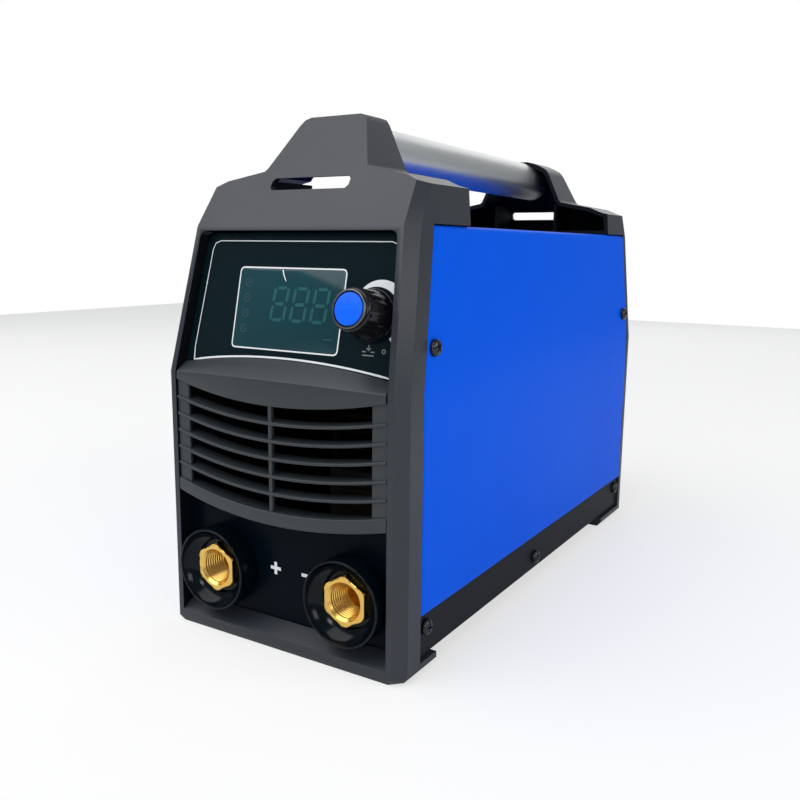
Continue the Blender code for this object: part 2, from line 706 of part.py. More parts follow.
def heatsink(name, side):
    """A comb extrusion standing along the tray, its fins toward the middle."""
    outline = [(56.0, 36.0), (56.0, 104.0)]
    for i in range(8):
        z = 104.0 - i * 9.4
        outline += [(30.0, z), (30.0, z - 2.2)]
        if i < 7:
            outline += [(52.0, z - 2.2), (52.0, z - 9.4)]
    return prism(name, [(side * x, z) for x, z in outline], "y", 120.0, 210.0,
                 material("sink_aluminium", (0.62, 0.63, 0.65), 0.38, 1.0))


def power_parts():
    green = material("board_green", (0.02, 0.12, 0.05), 0.45)
    box("main_board", (-56.0, 56.0), (70.0, 256.0), (18.0, 19.8), green)
    for i, (x, y) in enumerate(((-50.0, 78.0), (50.0, 78.0), (-50.0, 248.0), (50.0, 248.0))):
        rod("standoff_%d" % (i + 1), "z", (x, y), 3.2, TRAY_BOTTOM + TRAY_SHEET + GAP, 17.7, 12,
            material("steel_zinc", (0.5, 0.5, 0.52), 0.35, 1.0))
    heatsink("heatsink_left", -1)
    heatsink("heatsink_right", 1)
    core = box("transformer_core", (-24.0, 24.0), (74.0, 112.0), (20.1, 66.0),
               material("ferrite", (0.03, 0.03, 0.033), 0.6))
    cut(core, box("leg_a", (-17.0, 17.0), (60.0, 120.0), (28.0, 58.0)))
    box("transformer_winding", (-16.6, 16.6), (72.0, 114.0), (28.4, 57.6),
        material("tape_yellow", (0.65, 0.45, 0.08), 0.5))
    lathe("output_choke", [(8.0, 0.0), (20.0, 0.0), (20.0, 16.0), (8.0, 16.0)],
          (0.0, 150.0, 22.0), 28, material("winding_copper", (0.6, 0.25, 0.1), 0.4, 0.6),
          (0.0, 0.0, 1.0))
    for i, y in enumerate((190.0, 220.0)):
        lathe("capacitor_%d" % (i + 1), [(0.0, 0.0), (11.5, 0.0), (12.0, 0.8), (12.0, 38.0),
                                         (11.0, 39.0), (0.0, 39.0)], (0.0, y, 20.1), 20,
              material("capacitor_sleeve", (0.03, 0.04, 0.09), 0.35), (0.0, 0.0, 1.0))
    box("bridge_rectifier", (-50.0, -22.0), (222.0, 250.0), (20.1, 30.0),
        material("carrier_black", (0.02, 0.02, 0.022), 0.5))


def cover_screw(name, side, y, z):
    """A pan-head screw standing on the sheet, with its shank through the hole."""
    outer = half_width(z) + 0.2 if z > COVER_BOTTOM else TRAY_HALF
    start = outer + 0.5
    head = [(0.0, start + 2.1), (1.9, start + 1.95), (3.2, start + 1.2), (3.7, start)]
    shank = [(1.7, start), (1.7, start - 8.0), (0.0, start - 8.0)]
    return lathe(name, head + shank, (0.0, y, z), 16,
                 material("screw_black", (0.035, 0.035, 0.04), 0.28, 0.8), (side, 0.0, 0.0))


def cover_screws():
    for name, y, z in SCREWS:
        cover_screw("screw_%s_right" % name, 1.0, y, z)
        cover_screw("screw_%s_left" % name, -1.0, y, z)


def build():
    clear_scene()
    front_bezel()
    rear_bezel()
    side_cover()
    base_tray()
    vent_grille()
    output_panel()
    for name, x in (("positive", -SOCKET_X), ("negative", SOCKET_X)):
        socket_cup("socket_cup_" + name, x)
        socket_insert("socket_insert_" + name, x)
        socket_nut("socket_nut_" + name, x)
        busbar("busbar_" + name, x)
    knob_parts(display_parts())
    handle_tube()
    fan_parts()
    rear_fittings()
    power_parts()
    cover_screws()


build()
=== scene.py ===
import json
import math
from collections import namedtuple

import bmesh
import bpy
from mathutils import Matrix, Vector


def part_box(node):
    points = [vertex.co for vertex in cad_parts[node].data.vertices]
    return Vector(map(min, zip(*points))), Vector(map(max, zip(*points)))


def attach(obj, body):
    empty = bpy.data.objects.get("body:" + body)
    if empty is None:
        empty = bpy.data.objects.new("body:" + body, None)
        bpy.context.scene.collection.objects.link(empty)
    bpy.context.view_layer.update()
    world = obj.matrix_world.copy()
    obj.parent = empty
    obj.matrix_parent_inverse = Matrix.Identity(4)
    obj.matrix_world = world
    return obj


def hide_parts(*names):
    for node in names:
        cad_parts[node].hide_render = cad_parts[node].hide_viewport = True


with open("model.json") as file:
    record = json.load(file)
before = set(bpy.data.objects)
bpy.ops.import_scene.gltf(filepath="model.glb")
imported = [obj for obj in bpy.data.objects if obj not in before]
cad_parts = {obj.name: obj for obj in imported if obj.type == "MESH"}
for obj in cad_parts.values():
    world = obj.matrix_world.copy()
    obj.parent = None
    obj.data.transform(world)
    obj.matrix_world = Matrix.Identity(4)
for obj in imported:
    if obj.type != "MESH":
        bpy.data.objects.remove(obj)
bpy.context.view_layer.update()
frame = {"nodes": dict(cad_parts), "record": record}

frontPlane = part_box("front_bezel")[0][1]  # the flat front rim, where every depth starts
slotOf = {entry["node"]: entry["material_slot"] for entry in frame["record"]["subparts"]}

# Lengths in the dictionaries are millimetres: across, back from the front rim, up.
case = {
    "halfWidth": 66.0, "bendHeight": 123.0, "creaseHeight": 189.0, "sideTaper": 0.078,
    "frontLean": 14.8 / 66.0, "rearLean": 4.0 / 66.0, "browLean": 0.642, "depth": 296.5,
    "openingHalf": 58.2,
}


def place(x, y, z):
    return Vector((x * 0.001, frontPlane + y * 0.001, z * 0.001))


def halfWidth(z, soft=0.0):
    over = z - case["bendHeight"]
    if soft and abs(over) < soft:
        return case["halfWidth"] - case["sideTaper"] * (over + soft) ** 2 / (4 * soft)
    return case["halfWidth"] - case["sideTaper"] * max(0.0, over)


def leanAt(z, lean):
    lower = min(max(0.0, z - case["bendHeight"]), case["creaseHeight"] - case["bendHeight"])
    return lower * lean + max(0.0, z - case["creaseHeight"]) * case["browLean"]


faceUp = Vector((0.0, case["frontLean"], 1.0)).normalized()
faceOut = Vector((0.0, -1.0, case["frontLean"])).normalized()


def onDisplay(x, along, outward):
    spot = Vector((x, 0.0, case["bendHeight"])) + faceUp * along + faceOut * outward
    return place(*spot)


def onPanel(x, up, outward):
    return place(x, 8.0 - outward, up)


class Level:
    # a shader socket that adds its own Math nodes
    def __init__(self, shader, socket):
        self.shader = shader
        self.socket = socket

    def combine(self, operation, other):
        return self.shader.node("ShaderNodeMath", {"operation": operation}, {0: self, 1: other})

    def __add__(self, other):
        return self.combine("ADD", other)

    def __sub__(self, other):
        return self.combine("SUBTRACT", other)

    def __mul__(self, other):
        return self.combine("MULTIPLY", other)


class Shader:
    def __init__(self, name):
        self.material = bpy.data.materials.new(name)
        self.material.use_nodes = True
        self.tree = self.material.node_tree
        self.surface = self.tree.nodes["Principled BSDF"]

    def feed(self, socket, value):
        if isinstance(value, Level):
            self.tree.links.new(value.socket, socket)
        else:
            socket.default_value = value

    def node(self, kind, settings=None, values=None, output=0):
        added = self.tree.nodes.new(kind)
        for key, value in (settings or {}).items():
            setattr(added, key, value)
        for key, value in (values or {}).items():
            self.feed(added.inputs[key], value)
        return Level(self, added.outputs[output])


# spread is how far the roughness wanders, grain the scale of the fine noise
Coating = namedtuple(
    "Coating", "colour shade roughness spread grain bump specular metallic stretch",
    defaults=(0.5, 0.0, (1.0, 1.0, 1.0)))
finishes = {
    "case_charcoal": Coating((0.026, 0.031, 0.04), (0.019, 0.023, 0.03), 0.38, 0.1, 1500, 0.05,
        specular=0.36),
    # painted shade: a near-black copy of case_charcoal for the shaded walls of the opening and the
    # handle end
    "painted_recess_shade": Coating((0.004, 0.005, 0.008), (0.003, 0.004, 0.006), 0.5, 0.1, 1500, 0.05,
        specular=0.1),
    "cover_blue": Coating((0.0, 0.1, 0.76), (0.0, 0.088, 0.71), 0.4, 0.06, 420, 0.018,
        specular=0.03),
    "sheet_black": Coating((0.007, 0.009, 0.012), (0.005, 0.006, 0.009), 0.5, 0.1, 900, 0.04,
        specular=0.12),
    "grille_black": Coating((0.03, 0.038, 0.044), (0.022, 0.028, 0.033), 0.42, 0.08, 1700, 0.03,
        specular=0.35),
    "panel_black": Coating((0.001, 0.004, 0.008), (0.001, 0.003, 0.006), 0.3, 0.04, 260, 0.006,
        specular=0.04),
    "socket_black": Coating((0.001, 0.004, 0.007), (0.001, 0.003, 0.005), 0.15, 0.05, 420, 0.01,
        specular=0.16),
    "brass": Coating((0.83, 0.55, 0.16), (0.7, 0.42, 0.09), 0.24, 0.14, 2600, 0.03, metallic=1.0),
    "nut_nylon": Coating((0.02, 0.02, 0.022), (0.014, 0.014, 0.015), 0.5, 0.1, 900, 0.04),
    "copper": Coating((0.3, 0.14, 0.08), (0.22, 0.1, 0.06), 0.34, 0.15, 700, 0.03, metallic=1.0),
    "overlay_black": Coating((0.003, 0.012, 0.016), (0.002, 0.007, 0.01), 0.14, 0.03, 300, 0.004,
        specular=0.14),
    "window_tint": Coating((0.006, 0.055, 0.07), (0.007, 0.024, 0.034), 0.12, 0.02, 200, 0.002,
        specular=0.26),
    "digit_tint": Coating((0.02, 0.1, 0.11), (0.016, 0.08, 0.09), 0.16, 0.02, 300, 0.002,
        specular=0.26),
    "print_white": Coating((0.8, 0.82, 0.84), (0.7, 0.72, 0.75), 0.36, 0.06, 2200, 0.01),
    "print_grey": Coating((0.22, 0.23, 0.24), (0.17, 0.18, 0.19), 0.36, 0.06, 2200, 0.01),
    "print_faint": Coating((0.03, 0.07, 0.085), (0.024, 0.055, 0.068), 0.3, 0.05, 2200, 0.01),
    "carrier_black": Coating((0.02, 0.02, 0.022), (0.014, 0.014, 0.016), 0.5, 0.1, 900, 0.04),
    "lcd_grey": Coating((0.09, 0.12, 0.12), (0.07, 0.09, 0.09), 0.3, 0.05, 500, 0.01),
    "board_green": Coating((0.02, 0.12, 0.05), (0.015, 0.08, 0.035), 0.4, 0.1, 420, 0.05),
    "knob_black": Coating((0.004, 0.004, 0.005), (0.003, 0.003, 0.004), 0.16, 0.06, 1200, 0.015,
        specular=0.3),
    "ring_silver": Coating((0.16, 0.16, 0.17), (0.12, 0.12, 0.13), 0.28, 0.06, 1800, 0.01,
        metallic=1.0),
    "cap_blue": Coating((0.003, 0.13, 0.92), (0.002, 0.115, 0.86), 0.36, 0.05, 1400, 0.01,
        specular=0.18),
    "shaft_steel": Coating((0.6, 0.6, 0.62), (0.45, 0.45, 0.47), 0.3, 0.12, 2000, 0.02,
        metallic=1.0),
    "encoder_grey": Coating((0.25, 0.26, 0.28), (0.19, 0.2, 0.21), 0.42, 0.1, 1500, 0.02,
        metallic=0.6),
    "handle_aluminium": Coating((0.66, 0.67, 0.66), (0.59, 0.6, 0.6), 0.4, 0.1, 1300, 0.012,
        metallic=1.0, stretch=(1.0, 0.03, 1.0)),
    "fan_black": Coating((0.014, 0.014, 0.016), (0.01, 0.01, 0.011), 0.45, 0.1, 1200, 0.03),
    "guard_steel": Coating((0.55, 0.56, 0.58), (0.44, 0.45, 0.47), 0.24, 0.1, 1500, 0.015,
        metallic=1.0),
    "gland_nylon": Coating((0.017, 0.017, 0.019), (0.012, 0.012, 0.013), 0.44, 0.08, 1100, 0.03),
    "rocker_red": Coating((0.6, 0.018, 0.014), (0.5, 0.013, 0.01), 0.22, 0.05, 900, 0.01),
    "steel_zinc": Coating((0.5, 0.5, 0.52), (0.38, 0.38, 0.4), 0.34, 0.14, 900, 0.02,
        metallic=1.0),
    # painted shade: sink_aluminium, tape_yellow and winding_copper are far darker than aluminium,
    # yellow tape and copper, for the shade inside the closed case
    "sink_aluminium": Coating((0.1, 0.105, 0.11), (0.07, 0.075, 0.08), 0.45, 0.1, 1400, 0.02,
        metallic=1.0, stretch=(1.0, 0.05, 1.0)),
    "ferrite": Coating((0.03, 0.03, 0.033), (0.02, 0.02, 0.022), 0.6, 0.12, 800, 0.06),
    "tape_yellow": Coating((0.03, 0.02, 0.008), (0.022, 0.015, 0.006), 0.6, 0.1, 500, 0.04),
    "winding_copper": Coating((0.1, 0.035, 0.015), (0.07, 0.024, 0.01), 0.5, 0.15, 600, 0.1,
        metallic=0.6),
    "capacitor_sleeve": Coating((0.03, 0.04, 0.09), (0.02, 0.03, 0.07), 0.3, 0.06, 700, 0.01),
    "screw_black": Coating((0.05, 0.052, 0.056), (0.025, 0.026, 0.029), 0.18, 0.12, 2400, 0.02,
        metallic=0.9),
    "floor_pale": Coating((0.9, 0.9, 0.9), (0.88, 0.88, 0.88), 0.8, 0.05, 60, 0.0, specular=0.1),
}
finishesMade = {}


def finish(name):
    if name in finishesMade:
        return finishesMade[name]
    look = finishes[name]
    shader = Shader(name)
    spot = shader.node("ShaderNodeTexCoord", output="Object")
    spot = shader.node("ShaderNodeMapping", {}, {"Vector": spot, "Scale": look.stretch})
    fine = shader.node("ShaderNodeTexNoise", {}, {"Vector": spot, "Scale": look.grain,
                                                  "Detail": 3.0, "Roughness": 0.55})
    broad = shader.node("ShaderNodeTexNoise", {}, {"Vector": spot, "Scale": 14.0, "Detail": 2.0})
    colour = shader.node("ShaderNodeMix", {"data_type": "RGBA"},
                         {0: broad * 0.75 + fine * 0.25, 6: (*look.colour, 1.0),
                          7: (*look.shade, 1.0)}, 2)
    values = {
        "Base Color": colour,
        "Roughness": (fine * 0.6 + broad * 0.4 - 0.5) * (look.spread * 2) + look.roughness,
        "Metallic": look.metallic,
        "Specular IOR Level": look.specular,
    }
    if look.bump:
        values["Normal"] = shader.node("ShaderNodeBump", {}, {
            "Strength": look.bump * 4, "Distance": 0.0004, "Height": fine})
    for key, value in values.items():
        shader.feed(shader.surface.inputs[key], value)
    finishesMade[name] = shader.material
    return shader.material


def solid(name, points, faces, smooth=30.0):
    mesh = bpy.data.meshes.new(name)
    mesh.from_pydata([tuple(point) for point in points], [], faces)
    work = bmesh.new()
    work.from_mesh(mesh)
    bmesh.ops.remove_doubles(work, verts=work.verts, dist=1e-7)
    bmesh.ops.recalc_face_normals(work, faces=work.faces)
    if work.calc_volume(signed=True) < 0:
        bmesh.ops.reverse_faces(work, faces=work.faces)
    work.to_mesh(mesh)
    work.free()
    shadeByAngle(mesh, smooth)
    return linked(name, mesh)


def shadeByAngle(mesh, degrees):
    mesh.polygons.foreach_set("use_smooth", [True] * len(mesh.polygons))
    mesh.set_sharp_from_angle(angle=math.radians(degrees))


def linked(name, mesh):
    obj = bpy.data.objects.new(name, mesh)
    bpy.context.scene.collection.objects.link(obj)
    return obj


def evaluated(obj):
    # bakes the modifiers of an object into a plain mesh
    bpy.context.view_layer.update()
    graph = bpy.context.evaluated_depsgraph_get()
    mesh = bpy.data.meshes.new_from_object(obj.evaluated_get(graph))
    obj.modifiers.clear()
    obj.data = mesh
    return obj


def bevelled(obj, width, segments):
    step = obj.modifiers.new("Edges", "BEVEL")
    step.width = width * 0.001
    step.segments = segments
    step.limit_method = "ANGLE"
    step.angle_limit = math.radians(30.0)
    obj.modifiers.new("Flats", "WEIGHTED_NORMAL")
    return evaluated(obj)


def finished(obj, slot, replaced=(), body="root", look=None, painted=False):
    if not painted:
        obj.data.materials.clear()
        obj.data.materials.append(finish(look or slot))
    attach(obj, body)
    if replaced:
        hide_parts(*replaced)
    return obj


def joined(name, objects):
    # one mesh from several, each closed on its own
    work = bmesh.new()
    for obj in objects:
        work.from_mesh(obj.data)
        bpy.data.objects.remove(obj, do_unlink=True)
    mesh = bpy.data.meshes.new(name)
    work.to_mesh(mesh)
    work.free()
    return linked(name, mesh)


def softened(node, name, width, segments, body="root", extra=()):
    # a merged copy of a CAD piece with its edges rounded
    mesh = frame["nodes"][node].data.copy()
    mesh.name = name
    work = bmesh.new()
    work.from_mesh(mesh)
    bmesh.ops.remove_doubles(work, verts=work.verts, dist=2e-6)
    bmesh.ops.dissolve_limit(work, angle_limit=math.radians(0.8), verts=work.verts,
                             edges=work.edges)
    work.to_mesh(mesh)
    work.free()
    shadeByAngle(mesh, 180.0)
    obj = bevelled(linked(name, mesh), width, segments)
    if extra:
        obj = joined(name, [obj, *extra])
    return finished(obj, slotOf[node], (node,), body)


def loftFaces(count, rows):
    faces = []
    for row in range(rows - 1):
        for i in range(count):
            j = (i + 1) % count
            faces.append((row * count + i, row * count + j,
                          (row + 1) * count + j, (row + 1) * count + i))
    faces.append(tuple(reversed(range(count))))
    faces.append(tuple(range((rows - 1) * count, rows * count)))
    return faces


def lofted(name, loops, smooth=30.0):
    points = [point for loop in loops for point in loop]
    return solid(name, points, loftFaces(len(loops[0]), len(loops)), smooth)


def turned(name, profile, centre, axis, count, smooth=30.0, ripple=None):
    # turns (radius, distance) points about an axis; a ripple takes some off the radius
    along = Vector(axis).normalized()
    side = Vector((1.0, 0.0, 0.0)) if abs(along.x) < 0.9 else Vector((0.0, 1.0, 0.0))
    other = along.cross(side).normalized()
    side = other.cross(along)
    points = []
    rings = []
    for radius, distance in profile:
        middle = centre + along * distance * 0.001
        if radius <= 0.0:
            rings.append([len(points)] * count)
            points.append(middle)
            continue
        rings.append(list(range(len(points), len(points) + count)))
        for i in range(count):
            turn = 2 * math.pi * i / count
            r = (radius - (ripple(turn, distance, radius) if ripple else 0.0)) * 0.001
            points.append(middle + side * (r * math.cos(turn)) + other * (r * math.sin(turn)))
    if profile[0][0] > 0.0:
        rings.append(rings[0])
    faces = []
    for first, second in zip(rings, rings[1:]):
        for i in range(count):
            j = (i + 1) % count
            faces.append(tuple(dict.fromkeys((first[i], first[j], second[j], second[i]))))
    return solid(name, points, faces, smooth)


def arcPoints(centre, radius, start, end, count):
    # points on an arc, its angles in degrees
    turns = [math.radians(start + (end - start) * i / count) for i in range(count + 1)]
    return [(centre[0] + radius * math.cos(t), centre[1] + radius * math.sin(t)) for t in turns]


def ribbonLoops(path, width, closed):
    # the two edges of a printed line that follows a path
    count = len(path)
    edges = ([], [])
    for i, (x, y) in enumerate(path):
        back = path[i - 1] if i or closed else path[0]
        ahead = path[(i + 1) % count] if i < count - 1 or closed else path[-1]
        way = Vector((ahead[0] - back[0], ahead[1] - back[1])).normalized()
        size = width[i] if isinstance(width, list) else width
        for edge, sign in zip(edges, (0.5, -0.5)):
            edge.append((x - way.y * size * sign, y + way.x * size * sign))
    return edges


inkThickness = 0.05


def printed(name, shapes, surface, level, look="print_white", slot="overlay_black"):
    # thin ink: each shape is a ribbon (two edges) or a filled outline
    points = []
    faces = []
    for kind, first, second, closed in shapes:
        start = len(points)
        if kind == "line":
            count = len(first)
            for edge, lift in ((first, 0.0), (second, 0.0), (second, inkThickness),
                               (first, inkThickness)):
                points += [surface(x, y, level + lift) for x, y in edge]
            for i in range(count if closed else count - 1):
                j = (i + 1) % count
                for a, b in ((0, 1), (1, 2), (2, 3), (3, 0)):
                    faces.append((start + a * count + i, start + a * count + j,
                                  start + b * count + j, start + b * count + i))
            if not closed:
                for i in (0, count - 1):
                    faces.append(tuple(start + a * count + i for a in range(4)))
        else:
            count = len(first)
            points += [surface(x, y, level) for x, y in first]
            points += [surface(x, y, level + inkThickness) for x, y in first]
            faces.append(tuple(range(start, start + count))[::-1])
            faces.append(tuple(range(start + count, start + 2 * count)))
            for i in range(count):
                j = (i + 1) % count
                faces.append((start + i, start + j, start + count + j, start + count + i))
    return finished(solid(name, points, faces, 20.0), slot, look=look)


def line(path, width, closed=False):
    return ("line", *ribbonLoops(path, width, closed), closed)


def patch(outline):
    return ("fill", outline, None, True)


class Tree:
    # builds a Geometry Nodes tree with named inputs
    def __init__(self, name, inputs):
        self.group = bpy.data.node_groups.new(name, "GeometryNodeTree")
        sockets = self.group.interface
        sockets.new_socket("Geometry", in_out="OUTPUT", socket_type="NodeSocketGeometry")
        sockets.new_socket("Geometry", in_out="INPUT", socket_type="NodeSocketGeometry")
        for kind, labels in {**inputs, "Material": ("Finish",)}.items():
            for label in labels:
                sockets.new_socket(label, in_out="INPUT", socket_type="NodeSocket" + kind)
        self.entry = self.group.nodes.new("NodeGroupInput")
        self.exit = self.group.nodes.new("NodeGroupOutput")

    def input(self, label):
        return self.entry.outputs[label]

    def node(self, kind, settings=None, values=None):
        added = self.group.nodes.new(kind)
        for key, value in (settings or {}).items():
            setattr(added, key, value)
        for key, value in (values or {}).items():
            if isinstance(value, bpy.types.NodeSocket):
                self.group.links.new(value, added.inputs[key])
            else:
                added.inputs[key].default_value = value
        return added

    def math(self, operation, first, second=0.0):
        added = self.node("ShaderNodeMath", {"operation": operation}, {0: first, 1: second})
        return added.outputs[0]

    def vector(self, **parts):
        return self.node("ShaderNodeCombineXYZ", {}, parts).outputs[0]

    def close(self, geometry):
        whole = self.node("GeometryNodeRealizeInstances", {}, {"Geometry": geometry})
        coated = self.node("GeometryNodeSetMaterial", {},
                           {"Geometry": whole.outputs[0], "Material": self.input("Finish")})
        self.group.links.new(coated.outputs[0], self.exit.inputs[0])

    def apply(self, name, values, mesh=None):
        obj = linked(name, mesh or bpy.data.meshes.new(name))
        step = obj.modifiers.new(name, "NODES")
        step.node_group = self.group
        for item in self.group.interface.items_tree:
            if item.in_out == "INPUT" and item.name in values:
                step[item.identifier] = values[item.name]
        evaluated(obj)
        obj.data.name = name
        return obj


print("stage: tools ready")

# ---- the camera stands in front and to the right, a little above the handle
camera = {"across": 233.4, "back": -276.3, "up": 179.8, "turn": 31.524, "pitch": -10.138,
          "roll": 0.603, "lens": 38.13}


def addCamera():
    data = bpy.data.cameras.new("camera")
    data.lens = camera["lens"]
    data.sensor_width = 36.0
    data.clip_start = 0.01
    obj = bpy.data.objects.new("camera", data)
    bpy.context.scene.collection.objects.link(obj)
    turn = (Matrix.Rotation(math.radians(camera["turn"]), 4, "Z")
            @ Matrix.Rotation(math.radians(90 + camera["pitch"]), 4, "X")
            @ Matrix.Rotation(math.radians(camera["roll"]), 4, "Z"))
    obj.matrix_world = (Matrix.Translation(place(camera["across"], camera["back"], camera["up"]))
                        @ turn)
    bpy.context.scene.camera = obj


lamps = {
    "above": {"at": (-0.45, -0.75, 1.28), "size": 1.4, "power": 17.0},
    "right": {"at": (1.45, 0.30, 0.75), "size": 0.9, "power": 7.5},
    "edge": {"at": (1.20, -0.75, 0.62), "size": 0.5, "power": 3.6},
    "glint": {"at": (0.15, -1.35, 0.60), "size": 0.22, "power": 2.0},
    "left": {"at": (-1.4, 0.1, 0.75), "size": 0.9, "power": 3.0},
    "back": {"at": (-0.3, 1.5, 0.9), "size": 1.0, "power": 4.0},
}
studio = {"fill": (0.93, 0.97, 1.0), "strength": 0.30, "paper": 1.0, "floorGlow": 0.6}


def addLights():
    for name, lamp in lamps.items():
        data = bpy.data.lights.new(name, "AREA")
        data.size = lamp["size"]
        data.energy = lamp["power"]
        obj = bpy.data.objects.new(name, data)
        obj.location = lamp["at"]
        aim = Vector((0.0, 0.0, 0.1)) - Vector(lamp["at"])
        obj.rotation_euler = aim.to_track_quat("-Z", "Y").to_euler()
        bpy.context.scene.collection.objects.link(obj)
    world = bpy.data.worlds.new("studio")
    world.use_nodes = True
    nodes, links = world.node_tree.nodes, world.node_tree.links
    fill = nodes["Background"]
    fill.inputs["Color"].default_value = (*studio["fill"], 1.0)
    fill.inputs["Strength"].default_value = studio["strength"]
    paper = nodes.new("ShaderNodeBackground")
    paper.inputs["Color"].default_value = (1.0, 1.0, 1.0, 1.0)
    paper.inputs["Strength"].default_value = studio["paper"]
    pick = nodes.new("ShaderNodeMixShader")
    links.new(nodes.new("ShaderNodeLightPath").outputs["Is Camera Ray"], pick.inputs[0])
    links.new(fill.outputs[0], pick.inputs[1])
    links.new(paper.outputs[0], pick.inputs[2])
    links.new(pick.outputs[0], nodes["World Output"].inputs["Surface"])
    bpy.context.scene.world = world
    bpy.context.scene.view_settings.view_transform = "Standard"


def addFloor():
    size = 1.8
    points = [(-size, -size, 0), (size, -size, 0), (size, size, 0), (-size, size, 0)]
    mesh = bpy.data.meshes.new("floor")
    mesh.from_pydata(points, [], [(0, 1, 2, 3)])
    material = finish("floor_pale")
    nodes, links = material.node_tree.nodes, material.node_tree.links
    surface = next(node for node in nodes if node.type == "OUTPUT_MATERIAL").inputs["Surface"]
    share = nodes.new("ShaderNodeMath")
    share.operation = "MULTIPLY"
    share.inputs[1].default_value = studio["floorGlow"]
    links.new(nodes.new("ShaderNodeLightPath").outputs["Is Camera Ray"], share.inputs[0])
    pick = nodes.new("ShaderNodeMixShader")
    links.new(share.outputs[0], pick.inputs[0])
    links.new(surface.links[0].from_socket, pick.inputs[1])
    links.new(nodes.new("ShaderNodeEmission").outputs[0], pick.inputs[2])
    links.new(pick.outputs[0], surface)
    mesh.materials.append(material)
    linked("floor", mesh)


addCamera()
addLights()
addFloor()
print("stage: studio ready")

# ---- moulded ends, tray and hidden pieces keep their CAD shape with rounded edges
softEdges = {
    "front_bezel": ("frontMoulding", 0.8, 3), "rear_bezel": ("rearMoulding", 0.8, 3),
    "base_tray": ("bottomTray", 0.35, 2), "output_panel": ("outputPlate", 0.3, 2),
    "display_overlay": ("displayFacia", 0.2, 2), "switch_body": ("switchHousing", 0.35, 2),
    "fan_frame": ("fanHousing", 0.4, 2),
}
openingCorner = {"top": 65.57, "radius": 2.8, "deep": 4.7}


def cornerFillets():
    # round off the two upper corners of the display opening
    top, r = openingCorner["top"], openingCorner["radius"]
    wide = case["openingHalf"] - case["sideTaper"] * top * 0.976
    outline = [(wide + 0.5, top + 0.4), (wide + 0.5, top - r)]
    outline += arcPoints((wide - r, top - r), r, 0.0, 90.0, 8) + [(wide - r, top + 0.4)]
    pieces = []
    for sign in (-1, 1):
        loops = [[onDisplay(sign * x, along, out) for x, along in outline]
                 for out in (-openingCorner["deep"], -0.12)]
        pieces.append(lofted("corner", loops))
    return pieces


recess = {"riserFoot": 187.0, "rib": 55.0, "wallIn": 7.8, "wallLow": 20.0, "wallDeep": 30.0}


def paintRecessShade(mesh, back):
    # painted shade: the walls of the opening and the inside of the handle end get a near-black copy
    # of the case finish
    mesh.materials.append(finish("painted_recess_shade"))
    for face in mesh.polygons:
        x, z = face.center.x * 1000.0, face.center.z * 1000.0
        y = (face.center.y - frontPlane) * 1000.0
        out = face.normal
        riser = z > recess["riserFoot"]
        wall = (not riser and z > recess["wallLow"] and y < recess["wallDeep"]
                and abs(abs(x) - halfWidth(z) + recess["wallIn"]) < 0.6
                and out.x * x < 0 and abs(out.x) > 0.8)
        under = riser and (out.y * back > 0.5 or out.z < -0.3)
        rib = riser and abs(x) < recess["rib"] and abs(out.x) > 0.7 and out.z < 0.2
        if wall or under or rib:
            face.material_index = 1


for node, (name, width, segments) in softEdges.items():
    corners = cornerFillets() if node == "front_bezel" else ()
    moulding = softened(node, name, width, segments, extra=corners)
    if node.endswith("bezel"):
        paintRecessShade(moulding.data, 1.0 if corners else -1.0)
softened("switch_rocker", "rockerCap", 0.5, 3, body="rocker")
softened("fan_rotor", "fanWheel", 0.4, 2, body="fan")
print("stage: mouldings ready")

# ---- the painted sheet: two sides and a top, with a soft fold along each side
sheet = {
    "bottom": 26.6, "top": 189.5, "corner": 2.4, "foldSoftness": 11.0, "thick": 1.2,
    "front": 15.6, "rear": 286.8, "rearLean": 4.0, "stations": 72, "wave": 0.16,
}


def sheetSection():
    heights = [sheet["bottom"] + (186.5 - sheet["bottom"]) * i / 54 for i in range(55)]
    side = [(halfWidth(z, sheet["foldSoftness"]), z) for z in heights]
    r = sheet["corner"]
    middle = (halfWidth(187.0) - r, sheet["top"] - r)
    corner = arcPoints(middle, r, 4.0, 90.0, 6)
    top = [(middle[0] * (1 - i / 12.0), sheet["top"]) for i in range(1, 12)]
    half = side + corner + top
    return half + [(0.0, sheet["top"])] + [(-x, z) for x, z in reversed(half)]


def sheetRipple(y, z):
    # the thin steel is pulled in a little round its rear screws and fold
    near = math.exp(-((y - 279.0) / 16.0) ** 2)
    low = math.exp(-((z - 66.0) / 10.0) ** 2) - 0.8 * math.exp(-((z - 54.0) / 8.0) ** 2)
    fold = math.exp(-((z - 121.0) / 16.0) ** 2) * (y / 290.0) ** 2
    broad = 0.35 * math.sin(y * 0.031 + 0.6) * math.sin(z * 0.043)
    return sheet["wave"] * (near * low * 1.6 + fold * 0.9 + broad)


